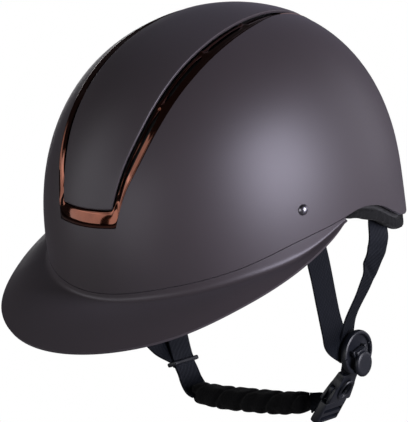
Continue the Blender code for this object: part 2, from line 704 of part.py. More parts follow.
def build_chin():
    """The chin strap, its pad, the tongue and its two sprung prongs."""
    keeper = shape("strap_keeper_right", lambda bm: block(bm, (27.0, 4.0, 9.0)), BLACK_PLASTIC, KEEPER)
    cut(keeper, shape("keeper_hole", lambda bm: block(bm, (23.0, 9.0, 6.2)), None, KEEPER, True))
    middle = path_through([(-62.4, 4.2, -137.0), (-60.2, 3.0, -142.5), (-57.0, 0.0, -147.5), (-52.0, -2.0, -150.3)])
    ribbon("chin_strap_right", middle, lambda t: ALONG_Y, BLACK_WEBBING, 2.4, 8, 19.0)

    def pad_cage(bm):
        bmesh.ops.create_grid(bm, x_segments=10, y_segments=2, size=0.5)
        for vert in bm.verts:
            along, side = vert.co.x + 0.5, 2 * vert.co.y
            squeeze = 0.72 + 0.28 * math.sin(math.pi * min(max(along, 0.03), 0.97)) ** 0.5
            vert.co = PAD_PATH(along) + Vector((0, side * squeeze * (PAD_WIDTH / 2 - 1.2), -side * 1.5))

    pad = shape("chin_pad", pad_cage, BLACK_PLUSH)
    thicken(pad, PAD_DEPTH, 0.0)
    smooth = pad.modifiers.new("soft", "SUBSURF")
    smooth.levels = smooth.render_levels = 1
    tail = in_buckle(0, 12.0, -3.8)
    middle = path_through([(54.6, -1.0, -138.2), (59.0, 1.5, -136.6), tuple(tail)])
    ribbon("chin_strap_left", middle, lambda t: SWING_AXIS, BLACK_WEBBING, WEBBING_WALL, 6, 18.0)

    def blade(bm):
        block(bm, (4.6, 17.0, 3.2), (0, 0.2, 0))

    tongue = shape("buckle_tongue", blade, BLACK_PLASTIC, BUCKLE)

    def shoulders(bm):
        block(bm, (24.0, 19.0, 6.4), (0, 17.1, 0))

    cut(tongue, shape("tongue_body", shoulders, None, BUCKLE, True), "UNION")

    def webbing_slots(bm):
        block(bm, (19.5, 3.2, 20.0), (0, 15.2, 0))
        block(bm, (19.5, 3.2, 20.0), (0, 21.6, 0))

    cut(tongue, shape("tongue_slots", webbing_slots, None, BUCKLE, True))
    for side, hand in (("front", 1), ("rear", -1)):

        def prong(bm):
            block(bm, (2.6, 13.0, 3.0), (hand * 7.6, 0.6, 0))

        def hook(bm):
            block(bm, (4.6, 5.0, 2.6), (hand * 9.4, -3.2, 0))

        made = shape(f"release_prong_{side}", prong, BLACK_PLASTIC, BUCKLE)
        cut(made, shape(f"prong_hook_{side}", hook, None, BUCKLE, True), "UNION")


outer_shell = build_shell()
build_peak()
build_rivets(outer_shell)
build_liner()
build_dial()
build_left_harness()
build_right_harness()
build_chin()
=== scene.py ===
import math

import bmesh
import bpy
from mathutils import Matrix, Vector


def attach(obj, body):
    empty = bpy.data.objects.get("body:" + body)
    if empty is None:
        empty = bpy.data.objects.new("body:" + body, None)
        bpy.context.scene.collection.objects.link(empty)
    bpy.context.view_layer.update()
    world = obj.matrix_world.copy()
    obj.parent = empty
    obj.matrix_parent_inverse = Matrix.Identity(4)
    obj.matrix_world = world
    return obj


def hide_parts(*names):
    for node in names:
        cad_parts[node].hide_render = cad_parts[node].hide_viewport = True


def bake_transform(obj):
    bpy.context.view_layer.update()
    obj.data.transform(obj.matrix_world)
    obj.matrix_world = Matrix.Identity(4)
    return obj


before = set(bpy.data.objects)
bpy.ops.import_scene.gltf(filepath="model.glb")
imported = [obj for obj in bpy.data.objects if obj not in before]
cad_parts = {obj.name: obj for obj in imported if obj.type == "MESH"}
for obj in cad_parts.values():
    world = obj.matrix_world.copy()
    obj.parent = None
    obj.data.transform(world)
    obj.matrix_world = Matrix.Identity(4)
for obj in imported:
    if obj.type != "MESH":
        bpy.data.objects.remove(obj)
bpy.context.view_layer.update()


# ---------------------------------------------------------------- studio
# A plain pale sweep far below the helmet, soft lights from above and behind, and a long lens that looks
# at the wearer's left front quarter from above.

BACK_TO_CAMERA = Vector((0.6318, -0.6745, 0.3820))
CAMERA_RIGHT = Vector((0.7629, 0.6284, -0.1520))
CAMERA_UP = BACK_TO_CAMERA.cross(CAMERA_RIGHT)
CAMERA_PLACE = Vector((1.2617, -1.3646, 0.7695))
FLOOR_LEVEL = -0.62
# In mm. It fits the object into the frame from 2 m away
FOCAL_LENGTH, SENSOR_WIDTH = 249.65, 36


def colour(code):
    """A hex sRGB colour as linear red, green, blue and alpha."""
    parts = [int(code[i:i + 2], 16) / 255 for i in (1, 3, 5)]
    return (*[p / 12.92 if p <= 0.04045 else ((p + 0.055) / 1.055) ** 2.4 for p in parts], 1.0)


def set_inputs(tree, node, values):
    """Sets a node's inputs to values, or links them to sockets."""
    for name, value in values.items():
        if isinstance(value, bpy.types.NodeSocket):
            tree.links.new(value, node.inputs[name])
        else:
            node.inputs[name].default_value = value


def add_node(tree, kind, settings=None, links=None):
    """One node with its settings and its inputs."""
    node = tree.nodes.new(kind)
    for name, value in (settings or {}).items():
        setattr(node, name, value)
    set_inputs(tree, node, links or {})
    return node


def new_material(name):
    """A material, its node tree and its Principled shader."""
    made = bpy.data.materials.new(name)
    made.use_nodes = True
    return made, made.node_tree, made.node_tree.nodes["Principled BSDF"]


def object_place(tree):
    return add_node(tree, "ShaderNodeTexCoord").outputs["Object"]


def noise(tree, where, scale, detail, **more):
    """The strength, 0 to 1, of noise with so many lumps a metre."""
    links = {"Vector": where, "Scale": scale, "Detail": detail, **more}
    return add_node(tree, "ShaderNodeTexNoise", links=links).outputs["Fac"]


def ramp(tree, strength, low, high):
    """A colour that runs from one to another as a strength goes from 0 to 1."""
    made = add_node(tree, "ShaderNodeValToRGB", links={"Fac": strength})
    made.color_ramp.elements[0].color = colour(low)
    made.color_ramp.elements[1].color = colour(high)
    return made


def spread(tree, strength, low, high, **more):
    """A strength of 0 to 1 spread over the values from low to high."""
    links = {"Value": strength, "To Min": low, "To Max": high, **more}
    return add_node(tree, "ShaderNodeMapRange", links=links).outputs["Result"]


def maths(tree, operation, *values):
    links = dict(enumerate(values))
    return add_node(tree, "ShaderNodeMath", {"operation": operation}, links).outputs["Value"]


def bump(tree, height, strength, distance, settings=None, **more):
    links = {"Height": height, "Strength": strength, "Distance": distance, **more}
    return add_node(tree, "ShaderNodeBump", settings, links).outputs["Normal"]


camera_data = bpy.data.cameras.new("camera")
camera_data.lens = FOCAL_LENGTH
camera_data.sensor_width = SENSOR_WIDTH
camera = bpy.data.objects.new("camera", camera_data)
bpy.context.scene.collection.objects.link(camera)
camera.matrix_world = Matrix.Translation(CAMERA_PLACE) @ Matrix(
    (CAMERA_RIGHT, CAMERA_UP, BACK_TO_CAMERA)
).transposed().to_4x4()
bpy.context.scene.camera = camera
bpy.context.scene.view_settings.view_transform = "Standard"

world = bpy.data.worlds.new("studio")
world.use_nodes = True
tree = world.node_tree
# White to the camera, and a dim room to everything that the helmet reflects
seen = add_node(tree, "ShaderNodeLightPath").outputs["Is Camera Ray"]
room = add_node(tree, "ShaderNodeBackground", links={"Color": colour("#d8d4dc"), "Strength": 0.05})
backdrop = add_node(tree, "ShaderNodeBackground", links={"Color": colour("#ffffff"), "Strength": 1.0})
both = add_node(tree, "ShaderNodeMixShader", links={
    0: seen, 1: room.outputs["Background"], 2: backdrop.outputs["Background"]})
tree.links.new(both.outputs["Shader"], tree.nodes["World Output"].inputs["Surface"])
bpy.context.scene.world = world

floor_material, tree, shader = new_material("pale_sweep")
seen = add_node(tree, "ShaderNodeLightPath").outputs["Is Camera Ray"]
pale = add_node(tree, "ShaderNodeEmission", links={"Color": colour("#ffffff"), "Strength": 1.0})
set_inputs(tree, shader, {"Base Color": colour("#7a787a"), "Roughness": 0.9})
both = add_node(tree, "ShaderNodeMixShader", links={
    0: seen, 1: shader.outputs["BSDF"], 2: pale.outputs["Emission"]})
tree.links.new(both.outputs["Shader"], tree.nodes["Material Output"].inputs["Surface"])
bpy.ops.mesh.primitive_plane_add(size=14, location=(0, 0, FLOOR_LEVEL))
floor = bpy.context.object
floor.name = "floor"
floor.data.materials.append(floor_material)


def softbox(name, place, width, height, power, tint="#ffffff"):
    """A soft area light that looks at the middle of the helmet."""
    data = bpy.data.lights.new(name, "AREA")
    data.shape = "RECTANGLE"
    data.size, data.size_y = width, height
    data.energy = power
    data.color = colour(tint)[:3]
    lamp = bpy.data.objects.new(name, data)
    lamp.location = place
    lamp.visible_camera = False
    lamp.rotation_euler = (Vector((0, 0, 0)) - Vector(place)).to_track_quat("-Z", "Y").to_euler()
    bpy.context.scene.collection.objects.link(lamp)


softbox("side_box", (1.95, 0.4, 0.32), 1.1, 1.3, 80, "#f6f4ff")
softbox("front_box", (0.3, -2.1, 0.5), 1.6, 1.3, 16)
softbox("far_front_box", (-1.3, -1.6, 0.55), 1.4, 1.4, 12)
softbox("upper_box", (-1.1, -1.25, 1.4), 0.9, 0.9, 4)
softbox("rear_box", (0.75, 1.9, -0.1), 0.9, 1.2, 6, "#f6f4ff")
softbox("far_rear_box", (-1.5, 1.1, -0.2), 0.5, 0.6, 1.8)


# ---------------------------------------------------------------- outer shell
# Injection-moulded ABS shell with a soft-touch matt lacquer, dark brown with a violet cast. It is 2.6 mm
# thick and ends in a thin seam over the peak, in an arch over the ear and in a low rim at the nape.

MM = 0.001
HALF_WIDTH, FRONT_REACH, REAR_REACH, CROWN_HEIGHT = 108.0, 137.0, 141.0, 139.0
SKIRT_HEIGHT = 400.0
PLAN_POWER, SIDE_POWER, REAR_WIDENING = 2.05, 2.27, 0.07
SHELL_WALL = 2.6


def curve_through(points, level_start=False):
    """A smooth function of one value through (value, result) pairs, held at its ends past them."""
    spans = list(zip(points, points[1:]))
    rises = [(b[1] - a[1]) / (b[0] - a[0]) for a, b in spans]
    inner = [(a + b) / 2 if a * b > 0 else 0 for a, b in zip(rises, rises[1:])]
    slopes = [0 if level_start else rises[0], *inner, rises[-1]]

    def value(at):
        at = min(max(at, points[0][0]), points[-1][0])
        for i, (low, high) in enumerate(spans):
            if at <= high[0]:
                break
        width = high[0] - low[0]
        t = (at - low[0]) / width
        start = (1 + 2 * t) * (1 - t) ** 2 * low[1] + t * (1 - t) ** 2 * width * slopes[i]
        return start + t * t * (3 - 2 * t) * high[1] - t * t * (1 - t) * width * slopes[i + 1]

    return value


def path_through(points):
    """A smooth path through points in space: a function from 0..1 to a place on it."""
    steps = [0.0]
    for a, b in zip(points, points[1:]):
        steps.append(steps[-1] + (Vector(b) - Vector(a)).length)
    axes = [curve_through([(s / steps[-1], p[k]) for s, p in zip(steps, points)]) for k in range(3)]
    return lambda t: Vector(axis(t) for axis in axes)


def shell_measure(point, inset):
    """Under 1 inside the surface that lies this far inside the shell's outer one, and over 1 outside."""
    x, y, z = point
    length = (FRONT_REACH if y < 0 else REAR_REACH) - inset
    width = (HALF_WIDTH - inset) * (1 + REAR_WIDENING * y / length)
    plan = abs(x / width) ** PLAN_POWER + abs(y / length) ** PLAN_POWER
    rise = abs(z / (CROWN_HEIGHT - inset)) ** SIDE_POWER if z > 0 else (z / SKIRT_HEIGHT) ** 2
    return plan ** (SIDE_POWER / PLAN_POWER) + rise


def halved(low, high, rounds, is_below):
    """The value at which a test stops being true, by halving a range."""
    for _ in range(rounds):
        middle = (low + high) / 2
        if is_below(middle):
            low = middle
        else:
            high = middle
    return low


def meet_shell(start, direction, inset):
    """Where a line leaves the shell's surface."""
    way = halved(0.0, 200.0, 26, lambda way: shell_measure(start + direction * way, inset) < 1)
    return start + direction * way


def at_height(angle, z, inset=0.0):
    """On the surface at a plan angle, in degrees from the front towards the wearer's left, and a height."""
    turn = math.radians(angle)
    return meet_shell(Vector((0, 0, z)), Vector((math.sin(turn), -math.cos(turn), 0)), inset)


def at_station(x, station, inset=0.0):
    """On the surface at a distance from the centre line and an angle over the crown, 0 front to 180 rear."""
    turn = math.radians(station)
    return meet_shell(Vector((x, 0, 0)), Vector((0, -math.cos(turn), math.sin(turn))), inset)


def between(low, high, share):
    return low + (high - low) * share


def finish_mesh(bm, name, look):
    """An object in metres from a bmesh in millimetres, linked to the scene."""
    bmesh.ops.scale(bm, vec=(MM, MM, MM), verts=bm.verts)
    mesh = bpy.data.meshes.new(name)
    bm.to_mesh(mesh)
    bm.free()
    mesh.materials.append(look)
    mesh.shade_smooth()
    made = bpy.data.objects.new(name, mesh)
    bpy.context.scene.collection.objects.link(made)
    return made


def thicken(made, wall, offset=-1.0):
    solid = made.modifiers.new("wall", "SOLIDIFY")
    solid.thickness = wall * MM
    solid.offset = offset
    solid.use_even_offset = True


def round_edges(made, width, segments=2, angle=40):
    bevel = made.modifiers.new("round", "BEVEL")
    bevel.width = width * MM
    bevel.segments = segments
    bevel.limit_method = "ANGLE"
    bevel.angle_limit = math.radians(angle)
    bevel.harden_normals = True


def subdivide(made, levels):
    finer = made.modifiers.new("finer", "SUBSURF")
    finer.levels = finer.render_levels = levels


def settle(made):
    """Applies an object's modifiers to its mesh."""
    bpy.context.view_layer.update()
    graph = bpy.context.evaluated_depsgraph_get()
    mesh = bpy.data.meshes.new_from_object(made.evaluated_get(graph), depsgraph=graph)
    made.modifiers.clear()
    made.data = mesh
    return made


def cut_away(made, cutters, operation="DIFFERENCE"):
    """Takes cutters off an object, or joins them to it, and removes the cutters."""
    for cutter in cutters:
        boolean = made.modifiers.new("cut", "BOOLEAN")
        boolean.object = cutter
        boolean.operation = operation
        boolean.solver = "EXACT"
    settle(made)
    for cutter in cutters:
        bpy.data.objects.remove(cutter, do_unlink=True)
    return made


def spun(section, steps):
    """A section of (radius, height) pairs from the axis back to it, spun round the z axis."""
    bm = bmesh.new()
    verts = [bm.verts.new((radius, 0, height)) for radius, height in section]
    edges = [bm.edges.new(pair) for pair in zip(verts, verts[1:])]
    bmesh.ops.spin(bm, geom=verts + edges, axis=(0, 0, 1), cent=(0, 0, 0), angle=math.tau, steps=steps,
                   use_merge=True)
    bmesh.ops.remove_doubles(bm, verts=bm.verts, dist=0.001)
    bmesh.ops.recalc_face_normals(bm, faces=bm.faces)
    return bm


def turned_mesh(name, section, look, steps, matrix, stretch=(1, 1, 1)):
    """A spun section, stretched along its own axes and put in its place."""
    bm = spun(section, steps)
    bmesh.ops.scale(bm, vec=stretch, verts=bm.verts)
    bmesh.ops.transform(bm, matrix=matrix, verts=bm.verts)
    return finish_mesh(bm, name, look)


def face_outward(bm):
    """Turns an open sheet round if its faces look at the middle of the helmet."""
    bm.normal_update()
    if sum(face.calc_center_median().dot(face.normal) * face.calc_area() for face in bm.faces) < 0:
        bmesh.ops.reverse_faces(bm, faces=bm.faces)


def sheet_mesh(name, columns, rows, place, look, wall, offset=-1.0):
    """A grid laid on a surface and thickened: place takes two values in 0..1 and gives a point."""
    bm = bmesh.new()
    bm.loops.layers.uv.new("weave")
    bmesh.ops.create_grid(bm, x_segments=columns, y_segments=rows, size=0.5, calc_uvs=True)
    for vert in bm.verts:
        vert.co = place(vert.co.x + 0.5, vert.co.y + 0.5)
    face_outward(bm)
    made = finish_mesh(bm, name, look)
    thicken(made, wall, offset)
    return made


def dome_mesh(name, inset, rim, look, wall, segments, rings):
    """The shell's surface at an inset, from the rim's height at each angle up to the crown, thickened inwards."""
    bm = bmesh.new()
    bmesh.ops.create_uvsphere(bm, u_segments=segments, v_segments=2 * rings, radius=1)
    low = [vert for vert in bm.verts if vert.co.z < -0.005]
    bmesh.ops.delete(bm, geom=low, context="VERTS")
    for vert in bm.verts:
        angle = math.degrees(math.atan2(vert.co.x, -vert.co.y))
        share = math.asin(min(1.0, vert.co.z)) / (math.pi / 2)
        edge = at_height(angle, rim(abs(angle)), inset)
        lowest = math.atan2(edge.z, math.hypot(edge.x, edge.y))
        rise = between(lowest, math.pi / 2, share)
        flat = Vector((math.sin(math.radians(angle)), -math.cos(math.radians(angle)), 0))
        vert.co = meet_shell(Vector((0, 0, 0)), flat * math.cos(rise) + Vector((0, 0, math.sin(rise))), inset)
    face_outward(bm)
    made = finish_mesh(bm, name, look)
    thicken(made, wall)
    return made


def stand_for(made, node, body):
    """Says which node a piece stands for and the body that it rides on."""
    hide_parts(node)
    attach(made, body)


def soft_touch_lacquer():
    """Soft-touch matt lacquer on ABS: no mirror image, a wide violet-grey bloom where light falls on it."""
    look, tree, shader = new_material("soft_touch_lacquer")
    where = object_place(tree)
    # Orange peel of the lacquer, about 1.5 mm across, and pigment flock of 0.3 mm drawn at 0.5 mm
    peel, flock = noise(tree, where, 650.0, 2.0), noise(tree, where, 2000.0, 1.0)
    peel_bump = bump(tree, peel, 0.03, 0.0004)
    set_inputs(tree, shader, {
        "Base Color": ramp(tree, noise(tree, where, 14.0, 3.0), "#2c2729", "#332d30").outputs["Color"],
        "Roughness": spread(tree, peel, 0.43, 0.50),
        "Normal": bump(tree, flock, 0.05, 0.0002, Normal=peel_bump),
        "IOR": 1.5, "Specular Tint": colour("#e6e4f0"),
        "Sheen Weight": 0.12, "Sheen Roughness": 0.5, "Sheen Tint": colour("#cfcadc"),
    })
    return look


LACQUER = soft_touch_lacquer()

rim_height = curve_through([
    (0, -0.7), (23, 2.8), (44, 5.4), (67, 10.2), (91, 10.4), (102, 9.0),
    (113, 0.0), (124, -15.2), (132, -24.6), (147, -32.0), (180, -35.0),
], level_start=True)
trim_outer = curve_through([
    (18.0, 24.0), (28.4, 28.9), (37, 34.8), (47, 39.0), (60, 41.7), (72, 42.6), (86, 41.5),
    (99, 38.4), (110, 33.6), (130, 25.0), (144, 20.0),
])
trim_inner = curve_through([
    (23.1, 20.9), (34, 24.8), (45.6, 29.4), (57, 31.3), (72, 31.7), (90, 30.1), (110, 26.5),
    (120, 23.0), (139, 13.5),
])
TRIM_FRONT, TRIM_REAR = 19.0, 144.0
PANEL_FRONT, PANEL_REAR = 24.1, 139.0
# The front bar sags by this many degrees in the middle, and the sag fades out over the crown
BAR_BOW, BOW_FADE = 0.8, 14.0


def panel_place(half_width, front, rear, inset, bow=0.0):
    """A patch over the crown, symmetric about the centre line, whose front edge sags by the bow."""

    def place(along, side):
        station, share = between(front, rear, along), 2 * side - 1
        sag = bow * (1 - share * share) * max(0.0, 1 - (station - front) / BOW_FADE)
        return at_station(share * half_width(station), station - sag, inset)

    return place


# The opening for the trim frame stays this far inside the frame's edge, so that no gap shows
OPENING_LAP, LAP_STATION = 0.3, 0.15
shell = dome_mesh("shell_skin", 0.0, rim_height, LACQUER, SHELL_WALL, 144, 44)
opening = sheet_mesh(
    "opening", 90, 16,
    panel_place(lambda s: trim_outer(s) - OPENING_LAP, TRIM_FRONT + LAP_STATION, TRIM_REAR - LAP_STATION, 0, BAR_BOW),
    LACQUER, 14.0, 0.0,
)
cut_away(shell, [opening])
shell.data.shade_smooth()
round_edges(shell, 0.45)
stand_for(shell, "outer_shell", "helmet")


# ---------------------------------------------------------------- crown panel
# A separate ABS cover in the same lacquer, standing a little proud between the two arms of the trim, with
# rolled edges that catch a thin line of light.

PANEL_PROUD = 0.5

panel = sheet_mesh(
    "crown_cover", 96, 24,
    panel_place(lambda s: trim_inner(s) - 0.2, PANEL_FRONT + 0.1, PANEL_REAR - 0.1, -PANEL_PROUD, BAR_BOW),
    LACQUER, SHELL_WALL,
)
round_edges(panel, 0.9, 3)
stand_for(panel, "crown_panel", "helmet")


# ---------------------------------------------------------------- trim frame
# ABS electroplated in a rose-copper chrome: a U of channel section whose floor drops towards the crown
# panel, with cross ribs and, along the arms, slots for the vents.

RIB_STATIONS = (55.3, 77.3, 97.3)
VENT_STATIONS = ((31.0, 53.9), (56.7, 75.9), (78.7, 95.9), (98.7, 124.0))


def rose_chrome():
    """Rose-copper vacuum chrome: a mirror with faint polishing haze under a thin clear topcoat."""
    look, tree, shader = new_material("rose_copper_chrome")
    where = object_place(tree)
    haze = noise(tree, where, 160.0, 4.0)
    set_inputs(tree, shader, {
        "Base Color": ramp(tree, haze, "#4e2a1e", "#6a3c2c").outputs["Color"],
        "Roughness": spread(tree, haze, 0.05, 0.13),
        "Normal": bump(tree, noise(tree, where, 70.0, 1.0), 0.12, 0.0006),
        "Metallic": 1.0,
        # The topcoat gives lamps a white highlight over the copper one
        "Coat Weight": 0.35, "Coat Roughness": 0.06,
    })
    return look


ROSE_CHROME = rose_chrome()

# Depth of the arm's surface under the shell's, across from the panel (0) to the shell (1), and of the bars
arm_depth = curve_through([(0, 2.6), (0.14, 2.5), (0.3, 1.9), (0.62, 0.9), (0.84, 0.25), (0.93, -0.25), (1, 0.5)])
bar_depth = curve_through([(0, 1.4), (0.1, 0.5), (0.3, -0.15), (0.55, -0.35), (0.85, -0.05), (1, 0.8)])
ARM_STEPS, BAR_STEPS, REAR_STEPS, ACROSS_STEPS = 150, 14, 8, 20
# Steps over which the bars' section turns into the arms', and the ribs' half thickness and height
FADE_STEPS, RIB_SPREAD, RIB_RISE = 7, 0.9, 1.1


def trim_half(bm):
    """Half of the frame as a strip round the U: front bar from the centre line, arm, rear bar."""
    total = BAR_STEPS + ARM_STEPS + REAR_STEPS
    bmesh.ops.create_grid(bm, x_segments=total, y_segments=ACROSS_STEPS, size=0.5)
    depths = {}
    for vert in bm.verts:
        step, across = round((vert.co.x + 0.5) * total), vert.co.y + 0.5
        if step <= BAR_STEPS:
            share = step / BAR_STEPS
            sag = BAR_BOW * (1 - share * share)
            inner = (share * trim_inner(PANEL_FRONT), PANEL_FRONT - sag)
            outer = (share * trim_outer(TRIM_FRONT), TRIM_FRONT - sag)
            armness = 0.0
        elif step <= BAR_STEPS + ARM_STEPS:
            share = (step - BAR_STEPS) / ARM_STEPS
            inner_station = between(PANEL_FRONT, PANEL_REAR, share)
            outer_station = between(TRIM_FRONT, TRIM_REAR, share)
            inner = (trim_inner(inner_station), inner_station)
            outer = (trim_outer(outer_station), outer_station)
            armness = min(1.0, share * ARM_STEPS / FADE_STEPS, (1 - share) * ARM_STEPS / FADE_STEPS)
        else:
            share = (total - step) / REAR_STEPS
            inner = (share * trim_inner(PANEL_REAR), PANEL_REAR)
            outer = (share * trim_outer(TRIM_REAR), TRIM_REAR)
            armness = 0.0
        x, station = between(inner[0], outer[0], across), between(inner[1], outer[1], across)
        rib = max(math.exp(-((station - place) / RIB_SPREAD) ** 2) for place in RIB_STATIONS)
        armness *= armness * (3 - 2 * armness)
        depth = between(bar_depth(across), arm_depth(across), armness)
        depth -= rib * armness * RIB_RISE * max(0.0, 1 - across / 0.8)
        depths[vert] = depth
        vert.co = (x, station, 0)
    corners = [
        vert for vert in bm.verts
        if vert.co.x > 8 and (vert.co.y < PANEL_FRONT + 2.2 or vert.co.y > PANEL_REAR - 2.5)
    ]
    for _ in range(5):
        bmesh.ops.smooth_vert(bm, verts=corners, factor=0.5, use_axis_x=True, use_axis_y=True)
    for vert, depth in depths.items():
        x, station = vert.co.x, vert.co.y
        vert.co = at_station(x, station, depth)
        if abs(x) < 0.001:
            vert.co.x = 0


bm = bmesh.new()
trim_half(bm)
bmesh.ops.mirror(bm, geom=bm.verts[:] + bm.edges[:] + bm.faces[:], axis="X", merge_dist=0.01)
bmesh.ops.remove_doubles(bm, verts=bm.verts, dist=0.01)
bmesh.ops.recalc_face_normals(bm, faces=bm.faces)
face_outward(bm)
trim = finish_mesh(bm, "trim_rail", ROSE_CHROME)
thicken(trim, 1.1)


def vent_slot(front, rear, hand, wall=9.0):
    """A cutter for one slot, in the deep part of the arm beside the crown panel."""

    def place(along, side):
        station = between(front, rear, along)
        low, high = trim_inner(station), trim_outer(station)
        ease = min(1.0, 6 * along, 6 * (1 - along)) ** 0.5
        middle, half = between(low, high, 0.31), 0.13 * (high - low) * ease + 0.05
        return at_station(hand * (middle + (2 * side - 1) * half), station, 1.8)

    return sheet_mesh("slot", 26, 2, place, ROSE_CHROME, wall, 0.0)


slots = [vent_slot(front, rear, hand) for hand in (1, -1) for front, rear in VENT_STATIONS]
cut_away(trim, slots)
trim.data.shade_smooth()
trim.data.set_sharp_from_angle(angle=math.radians(50))
stand_for(trim, "trim_frame", "helmet")


# ---------------------------------------------------------------- vent mesh
# A black moulded grille under each arm's slots, 2.2 mm cells with 0.5 mm bars.

def moulded_plastic(name, tint, rough_low, rough_high):
    """Acetal or nylon from a spark-eroded mould: fine grain, and slightly glossier on the high spots."""
    look, tree, shader = new_material(name)
    where = object_place(tree)
    wear = noise(tree, where, 90.0, 3.0)
    tone = add_node(tree, "ShaderNodeMix", {"data_type": "RGBA"}, {
        "Factor": wear, 6: colour(tint), 7: [min(1.0, 1.6 * part) for part in colour(tint)]})
    set_inputs(tree, shader, {
        "Base Color": tone.outputs[2],
        "Roughness": spread(tree, wear, rough_low, rough_high, **{"From Min": 0.3, "From Max": 0.7}),
        "Normal": bump(tree, noise(tree, where, 1400.0, 3.0), 0.12, 0.0002),
        "Specular IOR Level": 0.3,
    })
    return look


BUCKLE_ACETAL = moulded_plastic("buckle_acetal", "#0c0e14", 0.34, 0.46)
GRILLE_NYLON = moulded_plastic("grille_nylon", "#0b0b0c", 0.55, 0.7)
FIT_NYLON = moulded_plastic("fit_nylon", "#101012", 0.42, 0.55)

for hand, side in ((1, "left"), (-1, "right")):

    def grille_place(along, across, hand=hand):
        station = between(28.5, 125.5, along)
        low, high = trim_inner(station) + 2.7, trim_outer(station) - 2.7
        return at_station(hand * between(low, high, across), station, 4.1)

    grille = sheet_mesh(f"vent_grille_{side}", 90, 3, grille_place, GRILLE_NYLON, 0.01)
    grille.modifiers.clear()
    bars = grille.modifiers.new("bars", "WIREFRAME")
    bars.thickness = 0.6 * MM
    stand_for(grille, f"vent_mesh_{side}", "helmet")


# ---------------------------------------------------------------- peak
# A separate moulding in the shell's lacquer. Its upright lip hugs the shell under a thin seam, and turns
# out through a small fillet into a brim that is crowned, drops to the front and fades out at the ears.

brim_reach = curve_through([(0, 50.1), (22, 41.6), (45, 22.8), (68, 8.4), (90, 1.2)], level_start=True)
brim_edge = curve_through([(0, -19.2), (22, -17.0), (45, -9.5), (68, -2.3), (90, 7.5)], level_start=True)
lip_foot = curve_through([(0, -5.5), (22, -4.0), (45, -2.5), (68, -1.0), (90, 8.6)], level_start=True)
PEAK_HALF_ANGLE = 91.0
SEAM_GAP = 0.6
PEAK_WALL = 2.3
BRIM_CROWN = 2.2
LIP_SHARE = 0.25
FILLET = 4.5


def peak_profile(angle, out):
    """Down the lip, through a fillet at its foot, then over the brim to its edge."""
    turn = abs(angle)
    top, foot = rim_height(turn) - SEAM_GAP, lip_foot(turn)
    root = at_height(angle, foot)
    flat = Vector((root.x, root.y, 0)).normalized()
    reach = brim_reach(turn)
    bend = min(FILLET, 0.6 * abs(top - foot), 0.45 * reach)

    def brim(way):
        share = way / reach
        fall = between(foot, brim_edge(turn), share)
        bulge = BRIM_CROWN * math.sin(math.pi * share) * min(1.0, reach / 30)
        return Vector((root.x, root.y, 0)) + flat * way + Vector((0, 0, fall + bulge))

    if out <= LIP_SHARE / 2:
        return at_height(angle, between(top, foot + bend, 2 * out / LIP_SHARE))
    if out >= 1.5 * LIP_SHARE:
        return brim(between(bend, reach, (out - 1.5 * LIP_SHARE) / (1 - 1.5 * LIP_SHARE)))
    t = (out - LIP_SHARE / 2) / LIP_SHARE
    return at_height(angle, foot + bend) * (1 - t) ** 2 + brim(0) * 2 * t * (1 - t) + brim(bend) * t * t


def peak_place(along, out):
    return peak_profile((2 * along - 1) * PEAK_HALF_ANGLE, out)


peak = sheet_mesh("peak_brim", 130, 40, peak_place, LACQUER, PEAK_WALL)
round_edges(peak, 0.8, 3)
stand_for(peak, "peak", "helmet")


# ---------------------------------------------------------------- side rivets
# Domed stainless rivets with a satin head, one each side, set through the shell with a thin shadow line
# round them.

RIVET_ANGLE, RIVET_HEIGHT = 72.2, 29.3
# Half the section of a domed head with a thin collar under it, and of the shank
RIVET_SECTION = [(0, 2.7), (1.3, 2.5), (2.6, 1.9), (3.45, 0.95), (3.7, 0.3), (3.1, 0.1), (1.7, 0.0), (1.7, -3.2),
                 (0, -3.2)]


def outward_at(point):
    """The outward direction of the shell's surface."""
    step = 0.05
    grown = [
        shell_measure(point + Vector(d) * step, 0) - shell_measure(point - Vector(d) * step, 0)
        for d in ((1, 0, 0), (0, 1, 0), (0, 0, 1))
    ]
    return Vector(grown).normalized()


def satin_steel():
    """Stainless steel with a tumbled satin finish: fine scratches in all directions, soft reflections."""
    look, tree, shader = new_material("satin_stainless")
    # Tumbling marks, about 0.4 mm apart
    marks = noise(tree, object_place(tree), 2500.0, 3.0)
    set_inputs(tree, shader, {
        "Base Color": ramp(tree, marks, "#6c6a72", "#84828a").outputs["Color"],
        "Roughness": spread(tree, marks, 0.24, 0.40),
        "Normal": bump(tree, marks, 0.08, 0.0001),
        "Metallic": 1.0,
    })
    return look


SATIN_STEEL = satin_steel()

for hand, side in ((1, "left"), (-1, "right")):
    centre = at_height(hand * RIVET_ANGLE, RIVET_HEIGHT)
    turned = Matrix.Translation(centre) @ outward_at(centre).to_track_quat("Z", "Y").to_matrix().to_4x4()
    rivet = turned_mesh(f"domed_rivet_{side}", RIVET_SECTION, SATIN_STEEL, 28, turned)
    rivet.data.set_sharp_from_angle(angle=math.radians(60))
    stand_for(rivet, f"side_rivet_{side}", "helmet")


# ---------------------------------------------------------------- foam liner
# Expanded polystyrene, moulded in one piece with fused beads of about 3 mm and sprayed black.

LINER_INSET, LINER_WALL, LINER_DROP = 5.3, 16.5, 3.0


def bead_foam():
    """Black expanded foam: the closed cells show as 3 mm beads with fine dark lines between them."""
    look, tree, shader = new_material("black_bead_foam")
    # 3 mm beads: 330 cells a metre
    beads = add_node(tree, "ShaderNodeTexVoronoi", {"feature": "SMOOTH_F1"}, {
        "Vector": object_place(tree), "Scale": 330.0}).outputs["Distance"]
    set_inputs(tree, shader, {
        "Base Color": ramp(tree, beads, "#2c2c2e", "#141415").outputs["Color"],
        "Normal": bump(tree, beads, 0.35, 0.0008, {"invert": True}),
        "Roughness": 0.7,
    })
    return look


